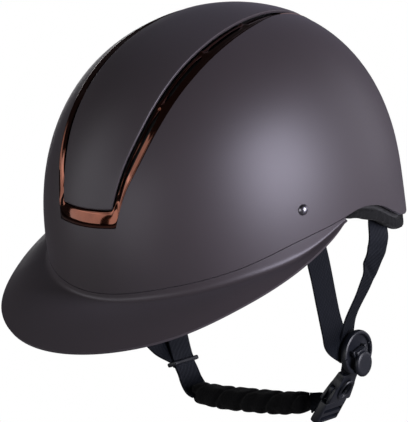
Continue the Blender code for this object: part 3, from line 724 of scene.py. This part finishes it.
liner = dome_mesh("bead_liner", LINER_INSET, lambda turn: rim_height(turn) - LINER_DROP, bead_foam(), LINER_WALL,
                  96, 24)
round_edges(liner, 2.0, 3)
stand_for(liner, "foam_liner", "helmet")


# ---------------------------------------------------------------- inner pads
# Brow, crown and temple pads of soft foam in a knitted black mesh, glued to the liner, with a welded hem and,
# on the brow pad, sewn channels that let air through.

PAD_INSET, PAD_WALL = 24.0, 5.0


def spacer_knit():
    """Knitted polyester spacer mesh: rows of small open loops that show as a regular dimpled grain."""
    look, tree, shader = new_material("black_spacer_knit")
    # Loops of about 1.6 mm, a little coarser than the real 1.2 mm so that they show
    loops = add_node(tree, "ShaderNodeTexVoronoi", {"feature": "F1"}, {
        "Vector": object_place(tree), "Scale": 620.0, "Randomness": 0.3}).outputs["Distance"]
    set_inputs(tree, shader, {
        "Base Color": ramp(tree, loops, "#020203", "#0b0c0e").outputs["Color"],
        "Normal": bump(tree, loops, 0.5, 0.0006),
        "Roughness": 0.9, "Specular IOR Level": 0.2, "Sheen Weight": 0.04, "Sheen Roughness": 0.4,
    })
    return look


SPACER_KNIT = spacer_knit()


def puff(made, voxel, pressure, cap):
    """Swells a pad as cloth over soft foam, and holds each point within a cap of where it started."""
    remesh = made.modifiers.new("even", "REMESH")
    remesh.mode = "VOXEL"
    remesh.voxel_size = voxel * MM
    settle(made)
    start = [vert.co.copy() for vert in made.data.vertices]
    # Worked at ten times its size, where the solver behaves
    for vert in made.data.vertices:
        vert.co *= 10
    cloth = made.modifiers.new("swell", "CLOTH")
    cloth.settings.quality = 6
    cloth.settings.mass = 0.3
    cloth.settings.use_pressure = True
    cloth.settings.uniform_pressure_force = pressure
    cloth.settings.tension_stiffness = cloth.settings.compression_stiffness = 15
    cloth.settings.shear_stiffness = 5
    cloth.settings.bending_stiffness = 0.5
    cloth.settings.effector_weights.gravity = 0
    scene = bpy.context.scene
    for frame_number in range(1, 21):
        scene.frame_set(frame_number)
    settle(made)
    scene.frame_set(1)
    for vert, was in zip(made.data.vertices, start):
        moved = vert.co / 10 - was
        if moved.length > cap * MM:
            moved *= cap * MM / moved.length
        vert.co = was + moved
    made.data.shade_smooth()
    return made


def finish_pad(pad, node, body):
    """Smooths a swelled pad, and says what it stands for."""
    subdivide(pad, 1)
    settle(pad).data.shade_smooth()
    stand_for(pad, node, body)


def band_place(first, last, low, high, inset):
    """A patch of the side wall between two plan angles and two heights."""

    def place(along, side):
        return at_height(between(first, last, along), between(low, high, side), inset)

    return place


def rounded_patch(place, corner):
    """Pulls a patch's corners in, so that its outline is round."""

    def pulled(along, side):
        u, v = 2 * along - 1, 2 * side - 1
        u, v = u * (1 - corner * v * v * abs(u)), v * (1 - corner * u * u * abs(v))
        return place((u + 1) / 2, (v + 1) / 2)

    return pulled


# The blocks are smaller than the pads by a skin, and swell into it; the sewn grooves are pressed in afterwards
PAD_SKIN = 0.9
GROOVE_HALF_WIDTH, GROOVE_DEPTH = 2.4, 1.3
pads = [
    ("brow_cushion", "brow_pad", 60, 6, rounded_patch(band_place(-71, 71, 3.2, 28.8, PAD_INSET + PAD_SKIN), 0.05)),
    ("crown_cushion", "crown_pad", 24, 20, rounded_patch(
        panel_place(lambda s: 28.8, 63, 121, PAD_INSET + PAD_SKIN), 0.16)),
    ("temple_cushion_left", "temple_pad_left", 16, 12, rounded_patch(
        band_place(99, 139, 18.2, 46.8, PAD_INSET + PAD_SKIN), 0.14)),
    ("temple_cushion_right", "temple_pad_right", 16, 12, rounded_patch(
        band_place(-99, -139, 18.2, 46.8, PAD_INSET + PAD_SKIN), 0.14)),
]
for name, node, columns, rows, place in pads:
    pad = puff(settle(sheet_mesh(name, columns, rows, place, SPACER_KNIT, PAD_WALL - 2 * PAD_SKIN)), 2.4, 3.5, 0.85)
    for vert in pad.data.vertices:
        point = vert.co / MM
        angle = math.degrees(math.atan2(point.x, -point.y))
        if node == "brow_pad":
            groove = min(abs(angle - step) * 1.75 for step in range(-60, 61, 20))
        elif node == "crown_pad":
            groove = abs(abs(point.x) - 10)
        else:
            groove = abs(point.z - 32)
        inner = shell_measure(point, PAD_INSET + PAD_WALL / 2) < 1
        if inner and groove < GROOVE_HALF_WIDTH:
            vert.co += point.normalized() * MM * GROOVE_DEPTH * (1 - (groove / GROOVE_HALF_WIDTH) ** 2)
    finish_pad(pad, node, "helmet")


# ---------------------------------------------------------------- nape pad
# A soft black foam bead in a knitted cover that closes the gap under the shell's rim, from the ears round
# the back.

# The bead starts this far round from the front. Its top is this far under the rim
NAPE_START, NAPE_TOP_DROP, NAPE_HEIGHT, NAPE_INSET, NAPE_WALL = 92.5, 3.0, 7.6, 2.3, 9.6


def nape_place(along, side):
    """The strip under the shell's rim from ear to ear round the back, fading out at the ears."""
    angle = between(NAPE_START + 0.6, 359.4 - NAPE_START, along)
    turn = angle if angle <= 180 else 360 - angle
    grown = min(1.0, 0.15 + (turn - NAPE_START) / 16)
    return at_height(angle, rim_height(turn) - NAPE_TOP_DROP - side * NAPE_HEIGHT * grown, NAPE_INSET)


nape = puff(settle(sheet_mesh("nape_bead", 130, 4, nape_place, SPACER_KNIT, NAPE_WALL)), 2.2, 3.0, 0.65)
finish_pad(nape, "nape_pad", "helmet")


# ---------------------------------------------------------------- fit system
# Two nylon bands from the temples to a flat housing at the nape, where a ribbed dial with a pinion pulls
# their two toothed racks in. All of it is moulded in black nylon.

DIAL_CENTRE = Vector((0, 98.5, -28))
HOUSING_SIZE = (48.0, 8.0, 27.0)
CHANNEL_SIZE = (60.0, 6.3, 22.0)
COVER_SIZE = (48.0, 1.5, 27.0)
KNOB_RIBS, RIB_HEIGHT = 22, 0.55


def box_mesh(name, size, centre, look, width, segments=2, matrix=Matrix()):
    """A block with rounded edges."""
    bm = bmesh.new()
    bmesh.ops.create_cube(bm, size=1, matrix=Matrix.Translation(centre) @ Matrix.Diagonal((*size, 1)))
    bmesh.ops.bevel(bm, geom=bm.edges[:], offset=width, segments=segments, profile=0.5, affect="EDGES",
                    clamp_overlap=True, material=-1)
    bmesh.ops.transform(bm, matrix=matrix, verts=bm.verts)
    return finish_mesh(bm, name, look)


def tidy_shading(made, angle=35):
    made.data.shade_smooth()
    made.data.set_sharp_from_angle(angle=math.radians(angle))


housing = box_mesh("dial_housing", HOUSING_SIZE, DIAL_CENTRE + Vector((0, -0.9, 0)), FIT_NYLON, 1.2)
channel = box_mesh("rack_space", CHANNEL_SIZE, DIAL_CENTRE + Vector((0, 0.2, 0)), FIT_NYLON, 0.4)
cut_away(housing, [channel])
cover = box_mesh("housing_cover", COVER_SIZE, DIAL_CENTRE + Vector((0, 4.15, 0)), FIT_NYLON, 0.5)
bm = bmesh.new()
bmesh.ops.create_cone(bm, cap_ends=True, segments=48, radius1=3.2, radius2=3.2, depth=12,
                      matrix=Matrix.Translation(DIAL_CENTRE + Vector((0, 4, 0))) @ Matrix.Rotation(math.pi / 2, 4, "X"))
cut_away(cover, [finish_mesh(bm, "shaft_hole", FIT_NYLON)])
for made, node in ((housing, "cradle_housing"), (cover, "cradle_cover")):
    tidy_shading(made)
    stand_for(made, node, "helmet")

# The knob: a ribbed rim and a dished face, on a plain back
bm = spun([
    (0, 5.4), (4.0, 5.4), (12.4, 5.4), (12.9, 6.0), (12.9, 11.9), (12.2, 12.9), (10.6, 13.1), (9.6, 12.5), (5.0, 11.9),
    (0, 11.8),
], 176)
for vert in bm.verts:
    reach = math.hypot(vert.co.x, vert.co.y)
    if reach > 12:
        ribbed = reach + RIB_HEIGHT * math.cos(KNOB_RIBS * math.atan2(vert.co.y, vert.co.x))
        vert.co.x, vert.co.y = vert.co.x * ribbed / reach, vert.co.y * ribbed / reach
facing_rear = Matrix(((-1, 0, 0, 0), (0, 0, 1, 0), (0, 1, 0, 0), (0, 0, 0, 1)))
bmesh.ops.transform(bm, matrix=Matrix.Translation(DIAL_CENTRE) @ facing_rear, verts=bm.verts)
knob = finish_mesh(bm, "ribbed_dial", FIT_NYLON)
tidy_shading(knob, 45)
stand_for(knob, "dial_knob", "dial")

for node in ("dial_pinion", "rack_left", "rack_right"):
    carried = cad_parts[node]
    carried = bpy.data.objects[node] if isinstance(carried, str) else carried
    for slot in carried.material_slots:
        slot.material = FIT_NYLON


def webbing_ribbon(name, middle, across, look, wall, steps, width, columns=8, bow=None):
    """A strap along a path: across gives its width direction along the way, bow its bulge in mm."""
    bm = bmesh.new()
    bm.loops.layers.uv.new("weave")
    bmesh.ops.create_grid(bm, x_segments=steps, y_segments=columns, size=0.5, calc_uvs=True)
    length = sum((middle((i + 1) / 60) - middle(i / 60)).length for i in range(60))
    weave = bm.loops.layers.uv.active
    for face in bm.faces:
        for loop in face.loops:
            loop[weave].uv = ((loop.vert.co.x + 0.5) * length, (loop.vert.co.y + 0.5) * width)
    for vert in bm.verts:
        along, side = vert.co.x + 0.5, vert.co.y
        ahead = (middle(min(1, along + 0.01)) - middle(max(0, along - 0.01))).normalized()
        wide = across(along)
        wide = (wide - ahead * wide.dot(ahead)).normalized()
        out = ahead.cross(wide)
        vert.co = middle(along) + wide * side * width + out * (bow(along, 2 * side) if bow else 0.0)
    made = finish_mesh(bm, name, look)
    thicken(made, wall, 0.0)
    return made


for hand, side in ((1, "left"), (-1, "right")):
    middle = path_through([
        (82.0 * hand, -18, 9), (82.6 * hand, 15, 7), (79.4 * hand, 36, 1), (73 * hand, 56, -8),
        (59.5 * hand, 81.5, -19), (44.5 * hand, 100, -25.5), (35 * hand, 102, -27.5), (26.5 * hand, 102.2, -28),
    ])
    band = webbing_ribbon(f"fit_strap_{side}", middle, lambda t: Vector((0, 0, 1)), FIT_NYLON, 1.5, 60, 11.0)
    round_edges(band, 0.5)
    stand_for(band, f"fit_band_{side}", "helmet")


# ---------------------------------------------------------------- left straps
# Flat polypropylene webbing, 21 mm wide, woven with fine lengthwise ribs and a slight satin sheen. Both
# straps are riveted inside the shell; the rear one is creased where it turns towards the divider.

WEBBING_WIDTH, WEBBING_WALL = 21.0, 1.4
ALONG_Y = Vector((0, 1, 0))
SWING_PIVOT = Vector((-93.5, 10.0, -28.0))
SWING_AXIS = Vector((0, 0.97, -0.24)).normalized()
FRONT_HANG = [(96.5, -20.5, 3.5), (96.0, -19.2, -10.0), (94.5, -16.2, -24.0)]
REAR_HANG = [(94.0, 55.5, -21.0), (93.5, 52.0, -28.0), (92.5, 47.5, -36.0)]
# The rear strap goes up behind the nape pad, and stops under the liner
REAR_TOP = [(89.6, 57.0, -14.5), (90.6, 54.5, -21.0), (92.4, 51.5, -28.5), (92.5, 47.5, -36.0)]
FRONT_LOWER = [(92.5, -12.6, -47.0), (90.4, -8.5, -70.0), (86.3, -1.5, -84.5), (86.0, 8.0, -95.0)]
REAR_LOWER = [(91.2, 40.0, -46.0), (90.0, 27.0, -59.0), (86.2, 14.0, -76.0), (83.4, 10.5, -92.0)]
REAR_SLANT = -0.69


def ribbed_webbing():
    """Woven polypropylene: ribs along the strap, cut by the weft, with a blue-black satin sheen."""
    look, tree, shader = new_material("ribbed_webbing")
    weave = add_node(tree, "ShaderNodeUVMap", {"uv_map": "weave"}).outputs["UV"]
    # Ribs 1.3 mm apart across the strap and weft every 1.0 mm along it, in a map whose unit is 1 mm
    ribs, weft = (
        add_node(tree, "ShaderNodeTexWave", {"bands_direction": direction}, {
            "Vector": weave, "Scale": scale, "Distortion": distortion, "Detail": 1.0, "Detail Scale": 2.0,
        }).outputs["Fac"]
        for direction, scale, distortion in (("Y", 0.314 / 1.3, 0.4), ("DIAGONAL", 0.157 / 1.0, 0.6))
    )
    woven = maths(tree, "MULTIPLY", ribs, weft)
    use = noise(tree, object_place(tree), 60.0, 3.0)
    mixed = maths(tree, "MULTIPLY_ADD", use, 0.5, woven)
    set_inputs(tree, shader, {
        "Base Color": ramp(tree, mixed, "#030406", "#0b0d12").outputs["Color"],
        "Roughness": spread(tree, woven, 0.62, 0.44),
        "Normal": bump(tree, woven, 0.45, 0.0003),
        "Specular IOR Level": 0.16, "Specular Tint": colour("#c4cbe0"),
    })
    return look


WEBBING = ribbed_webbing()


def from_rim(slant, end, reach):
    """A width that starts along the slanting rim and turns to its own direction over the first reach."""
    return lambda t: Vector((0, 1, slant)).lerp(end, min(1.0, t / reach))


def strap(name, points, across, nodes, body, steps=70, width=WEBBING_WIDTH, wall=WEBBING_WALL, bow=None):
    """A webbing strap that stands for its nodes: bow gives how far it bulges outwards, in mm."""
    made = webbing_ribbon(name, path_through(points), across, WEBBING, wall, steps, width, 12, bow=bow)
    round_edges(made, 0.35)
    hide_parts(*nodes)
    if body:
        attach(made, body)
    return made


def rear_width(t):
    """Along the rim, then level, and turned a little inwards below the crease."""
    if t < 0.36:
        return from_rim(REAR_SLANT, ALONG_Y, 0.3)(t)
    return ALONG_Y.lerp(Vector((-0.10, 0.99, 0)), min(1.0, (t - 0.36) / 0.10))


def rear_bow(t, side):
    """Below a slanting crease the strap's front edge is rolled outwards."""
    crease = 0.42 + 0.03 * side
    rolled = min(1.0, max(0.0, (t - crease) / 0.10)) * min(1.0, max(0.0, (0.99 - t) / 0.10))
    edge = max(0.0, -side - 0.25)
    dent = math.exp(-((t - crease) / 0.02) ** 2) * max(0.0, 1 - side * side)
    return 4.0 * rolled * edge ** 1.3 - 1.1 * dent


def front_bow(t, side):
    return 0.5 * math.sin(math.pi * t) * (1 - side * side)


strap("front_webbing_left", FRONT_HANG + FRONT_LOWER, lambda t: ALONG_Y, ["front_strap_left"], "helmet",
      bow=front_bow)
strap("rear_webbing_left", REAR_TOP + REAR_LOWER, rear_width, ["rear_strap_left"], "helmet", bow=rear_bow)


# ---------------------------------------------------------------- strap divider
# An acetal disc with a rolled rim that joins the left straps. A cam lever with a round thumb pad turns on a
# steel pin across its dish, and clamps the webbing.

DIVIDER_CENTRE = Vector((88.0, 13.0, -98.5))


def basis(origin, x_axis, y_axis, z_axis):
    """The matrix that takes local coordinates to three axes at a place."""
    return Matrix.Translation(origin) @ Matrix((x_axis, y_axis, z_axis)).transposed().to_4x4()


DIVIDER = basis(DIVIDER_CENTRE, Vector((0, 1, 0)), Vector((0, 0, 1)), Vector((1, 0, 0)))


def fitted(made, node, body, angle=40):
    """Shades a hard piece, and says what it stands for and its body."""
    tidy_shading(made, angle)
    stand_for(made, node, body)


divider = turned_mesh("divider_disc", [
    (0, 0), (14.0, 0), (15.1, 0.6), (15.5, 1.8), (15.5, 3.6), (15.1, 4.7), (14.2, 5.2), (13.2, 5.0), (12.6, 4.2),
    (12.3, 3.0), (11.6, 2.5), (0, 2.4),
], BUCKLE_ACETAL, 72, DIVIDER)
lugs = [
    box_mesh(f"lug_{i}", (2.0, 4.4, 4.2), (x, 1.6, 4.2), BUCKLE_ACETAL, 0.6, 2, DIVIDER)
    for i, x in enumerate((-6.2, 6.2))
]
cut_away(divider, lugs, "UNION")
PIN_PLACE = DIVIDER @ Matrix.Translation((0, 1.6, 4.6)) @ Matrix.Rotation(math.pi / 2, 4, "Y")
PIN_BORE = [(0, -15), (0.95, -15), (0.95, 15), (0, 15)]
pin_hole = turned_mesh("pin_hole", PIN_BORE, BUCKLE_ACETAL, 24, PIN_PLACE)
cut_away(divider, [pin_hole])
fitted(divider, "divider_base", "helmet")

pin = turned_mesh("hinge_pin", [(0, -7), (0.6, -7), (0.85, -6.7), (0.85, 6.7), (0.6, 7), (0, 7)], SATIN_STEEL, 24,
                  PIN_PLACE)
fitted(pin, "divider_pin", "helmet")

lever = turned_mesh("cam_lever", [(0, -4.8), (1.4, -4.8), (1.75, -4.4), (1.75, 4.4), (1.4, 4.8), (0, 4.8)],
                    BUCKLE_ACETAL, 32, PIN_PLACE)
arm = box_mesh("lever_arm", (8.0, 9.4, 2.0), (0, -3.6, 5.4), BUCKLE_ACETAL, 0.7, 3, DIVIDER)
thumb = turned_mesh("thumb_pad", [
    (0, 5.5), (7.4, 5.5), (8.2, 5.9), (8.6, 6.8), (8.4, 7.9), (7.6, 8.7), (6.2, 9.0), (4.0, 8.9), (0, 8.7),
], BUCKLE_ACETAL, 48, DIVIDER @ Matrix.Translation((0, -8.0, 0)), (1.0, 1.08, 1.0))
ridge = box_mesh("lever_ridge", (9.6, 3.6, 3.0), (0, 0.9, 5.9), BUCKLE_ACETAL, 1.1, 3, DIVIDER)
bore = turned_mesh("lever_bore", PIN_BORE, BUCKLE_ACETAL, 24, PIN_PLACE)
cut_away(lever, [arm, thumb, ridge], "UNION")
cut_away(lever, [bore])
fitted(lever, "divider_lever", "divider_lever")


# ---------------------------------------------------------------- buckle socket
# The female half of a quick-release buckle, moulded in acetal, on a short piece of webbing sewn behind the
# divider. It has an oval window with a rolled edge, and is open at both sides for the prongs.

BUCKLE_CENTRE = Vector((75.5, 6.0, -127.5))


def strap_basis(centre, outward, hand):
    """Local x across the webbing, along the swing axis, y down the webbing and z outwards."""
    out = (outward - SWING_AXIS * outward.dot(SWING_AXIS)).normalized()
    across = SWING_AXIS * -hand
    return basis(centre, across, out.cross(across), out)


BUCKLE = strap_basis(BUCKLE_CENTRE, BUCKLE_CENTRE - SWING_PIVOT, 1)


def in_buckle(x, y, z):
    return tuple(BUCKLE @ Vector((x, y, z)))


strap("socket_webbing", [(84.6, 12.0, -99.0), (85.6, 11.5, -104.0), in_buckle(0, -17.4, 0)], lambda t: SWING_AXIS,
      ["buckle_strap"], "helmet", 16, 18.0)

socket = box_mesh("buckle_housing", (25.0, 24.0, 9.0), (0, -5.0, 0), BUCKLE_ACETAL, 1.3, 3, BUCKLE)
waists = [
    turned_mesh(f"waist_{i}", [(0, -9), (9.0, -9), (9.0, 9), (0, 9)], BUCKLE_ACETAL, 48,
                BUCKLE @ Matrix.Translation((x, -9.5, 0)))
    for i, x in enumerate((-20.3, 20.3))
]
hollow = box_mesh("tongue_space", (19.0, 30.0, 5.4), (0, 5.0, 0), BUCKLE_ACETAL, 0.5, 1, BUCKLE)
sides = box_mesh("prong_space", (40.0, 30.0, 4.2), (0, 8.0, 0), BUCKLE_ACETAL, 0.5, 1, BUCKLE)
OVAL = BUCKLE @ Matrix.Translation((0, -4.0, 0)) @ Matrix.Diagonal((1.0, 1.3, 1.0, 1.0))
window = turned_mesh("window", [(0, 1.5), (4.0, 1.5), (4.1, 3.6), (5.0, 5.6), (5.0, 9), (0, 9)], BUCKLE_ACETAL, 40,
                     OVAL)
cut_away(socket, [*waists, hollow, sides, window])
# Narrower and thinner towards the end that the webbing is sewn to
to_buckle = BUCKLE.inverted()
for vert in socket.data.vertices:
    local = to_buckle @ (vert.co / MM)
    taper = min(1.0, max(0.0, (2 - local.y) / 16))
    local.x *= 1 - 0.34 * taper
    local.z *= 1 - 0.34 * taper
    vert.co = (BUCKLE @ local) * MM
collar = turned_mesh("window_collar", [
    (5.0, 4.2), (6.6, 4.2), (6.7, 4.8), (6.3, 5.35), (5.7, 5.45), (5.1, 5.1), (4.8, 4.7), (5.0, 4.2),
], BUCKLE_ACETAL, 40, OVAL)
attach(collar, "helmet")
tidy_shading(collar)
fitted(socket, "buckle_socket", "helmet", 30)


# ---------------------------------------------------------------- right straps
# The same webbing on the wearer's right, sewn together under the chin end and held by a ring.

# Points this far along the webbing on each side of the swing axis are worked out, but nothing uses them
BEND_REACH = 4


def right_strap(part, hang, lower):
    """One strap from inside the shell to the keeper, crossing the swing axis below the rim."""
    hung = [(-x, y, z) for x, y, z in hang]
    lowered = [(-x, y, z) for x, y, z in lower]
    slant = REAR_SLANT if part == "rear" else 0.0
    crossing = Vector((hung[2][0], hung[2][1], 0))
    crossing.z = SWING_PIVOT.z + (crossing.y - SWING_PIVOT.y) * SWING_AXIS.z / SWING_AXIS.y
    points = [hung[0], tuple(Vector(hung[1]).lerp(crossing, 0.4)), tuple(crossing), *lowered]
    made = strap(f"{part}_webbing_right", points, from_rim(slant, SWING_AXIS, 0.25),
                 [f"{part}_hanger_right", f"{part}_strap_right"], None, 110)
    settle(made)
    down = SWING_AXIS.cross(Vector((1, 0, 0))).normalized()
    if down.z > 0:
        down.negate()
    start, end = (tuple((crossing + down * reach) * MM) for reach in (-BEND_REACH, BEND_REACH))
    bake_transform(made)
    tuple(start)
    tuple(end)


right_strap("front", FRONT_HANG, [
    (92.5, -13.5, -47.0), (90.0, -12.0, -70.0), (84.0, -12.0, -93.0), (75.0, -7.0, -113.0), (67.7, 3.6, -127.0),
    (66.0, 4.2, -131.0),
])
right_strap("rear", REAR_HANG, [
    (91.0, 41.0, -50.0), (89.0, 31.0, -70.0), (81.5, 20.0, -95.0), (73.0, 11.0, -114.0), (65.6, 5.0, -127.0),
    (63.7, 4.4, -131.6),
])

KEEPER = strap_basis(Vector((-65.0, 4.2, -131.0)), Vector((-0.9, 0, -0.42)), -1)
keeper = box_mesh("keeper_ring", (26.0, 3.2, 8.6), (0, 0, 0), BUCKLE_ACETAL, 1.1, 3, KEEPER)
cut_away(keeper, [box_mesh("keeper_hole", (23.0, 9.0, 6.2), (0, 0, 0), BUCKLE_ACETAL, 0.4, 2, KEEPER)])
fitted(keeper, "strap_keeper_right", "chin_strap")
strap("chin_webbing_right", [
    (-65.3, 4.3, -129.6), (-64.0, 4.2, -133.0), (-61.4, 3.6, -138.0), (-57.4, 1.4, -143.4), (-51.0, -1.4, -147.8),
    (-45.0, -2.4, -149.0),
], lambda t: ALONG_Y, ["chin_strap_right"], "chin_strap", 36, 19.0, 2.0)


# ---------------------------------------------------------------- chin pad
# A sleeve of short black plush over soft foam round the chin webbing, quilted by slanting seams into short
# sections, and gathered at its ends.

PAD_PATH = path_through([
    (-50.0, -2.0, -149.5), (-24.0, -3.0, -148.6), (4.0, -3.0, -145.6), (32.0, -3.0, -141.8), (52.0, -1.5, -137.6),
])
PAD_LENGTH, PAD_WIDTH, PAD_DEPTH, PAD_SWELL = 104, 19.0, 14.4, 1.1
PAD_SEAMS = (0.05, 0.27, 0.49, 0.72, 0.94)


def chin_plush():
    """Short-pile polyester plush: clumps of pile about 1.5 mm across, deep black with a faint sheen."""
    look, tree, shader = new_material("black_plush")
    where = object_place(tree)
    # Clumps of 1.5 mm, and single tufts of 0.5 mm
    clumps = noise(tree, where, 650.0, 4.0, Roughness=0.7)
    tufts = add_node(tree, "ShaderNodeTexVoronoi", links={"Vector": where, "Scale": 1900.0})
    height = maths(tree, "MULTIPLY_ADD", tufts.outputs["Distance"], 0.35, clumps)
    tone = ramp(tree, clumps, "#020203", "#0c0c0e")
    tone.color_ramp.elements[0].position, tone.color_ramp.elements[1].position = 0.35, 0.72
    set_inputs(tree, shader, {
        "Base Color": tone.outputs["Color"], "Normal": bump(tree, height, 0.9, 0.0012),
        "Roughness": 0.95, "Sheen Weight": 0.03, "Sheen Roughness": 0.35, "Specular IOR Level": 0.12,
    })
    return look


def along_pad(point):
    """How far along the pad a point lies, 0 to 1, from the wearer's right."""
    return halved(0.0, 1.0, 20, lambda share: PAD_PATH(share).x < point.x)


bm = bmesh.new()
bmesh.ops.create_grid(bm, x_segments=44, y_segments=6, size=0.5)
for vert in bm.verts:
    along, side = vert.co.x + 0.5, 2 * vert.co.y
    squeeze = 0.70 + 0.30 * math.sin(math.pi * min(max(along, 0.02), 0.98)) ** 0.5
    vert.co = PAD_PATH(along) + Vector((0, side * squeeze * (PAD_WIDTH / 2 - PAD_SWELL), -side * 1.5))
chin_pad = finish_mesh(bm, "chin_cushion", chin_plush())
thicken(chin_pad, PAD_DEPTH - 2 * PAD_SWELL, 0.0)
settle(chin_pad)
puff(chin_pad, 1.5, 4.0, PAD_SWELL)
for vert in chin_pad.data.vertices:
    point = vert.co / MM
    along = along_pad(point)
    middle = PAD_PATH(along)
    # The seams slant a little across the pad
    place = along - 0.004 * (point.y - middle.y) - 0.004 * (point.z - middle.z)
    nearest = min(abs(place - seam) for seam in PAD_SEAMS) * PAD_LENGTH
    dip = 1.5 * math.exp(-(nearest / 1.6) ** 2) - 0.5 * math.sin(min(math.pi, nearest * math.pi / 11.5))
    inward = Vector((0, middle.y - point.y, middle.z - point.z))
    if inward.length > 0.5:
        vert.co = (point + inward.normalized() * min(dip, inward.length * 0.4)) * MM
finish_pad(chin_pad, "chin_pad", "chin_strap")


# ---------------------------------------------------------------- buckle tongue
# The male half of the buckle in acetal: a guide blade, two sprung prongs with hooks, and a body with a
# ladder that the chin webbing is laced through.

strap("chin_webbing_left", [(54.6, -1.0, -138.2), (59.0, 1.5, -136.6), in_buckle(0, 12.0, -3.8)],
      lambda t: Vector((0, 0.85, 0.52)).lerp(SWING_AXIS, t), ["chin_strap_left"], "chin_strap", 20, 18.0)

tongue = box_mesh("tongue_ladder", (24.0, 19.0, 6.4), (0, 17.1, 0), BUCKLE_ACETAL, 1.4, 3, BUCKLE)
blade = box_mesh("guide_blade", (4.6, 17.0, 3.2), (0, 0.2, 0), BUCKLE_ACETAL, 0.5, 2, BUCKLE)
cut_away(tongue, [blade], "UNION")
rungs = [
    box_mesh(f"rung_{i}", (19.5, 3.2, 20.0), (0, y, 0), BUCKLE_ACETAL, 0.5, 2, BUCKLE)
    for i, y in enumerate((15.2, 21.6))
]
cut_away(tongue, rungs)
fitted(tongue, "buckle_tongue", "chin_strap", 30)
for side, hand in (("front", 1), ("rear", -1)):
    prong = box_mesh(f"sprung_prong_{side}", (2.6, 13.0, 3.0), (hand * 7.6, 0.6, 0), BUCKLE_ACETAL, 0.5, 2, BUCKLE)
    hook = box_mesh(f"hook_{side}", (4.6, 5.0, 2.8), (hand * 9.4, -3.2, 0), BUCKLE_ACETAL, 0.7, 2, BUCKLE)
    cut_away(prong, [hook], "UNION")
    fitted(prong, f"release_prong_{side}", f"release_prong_{side}", 30)
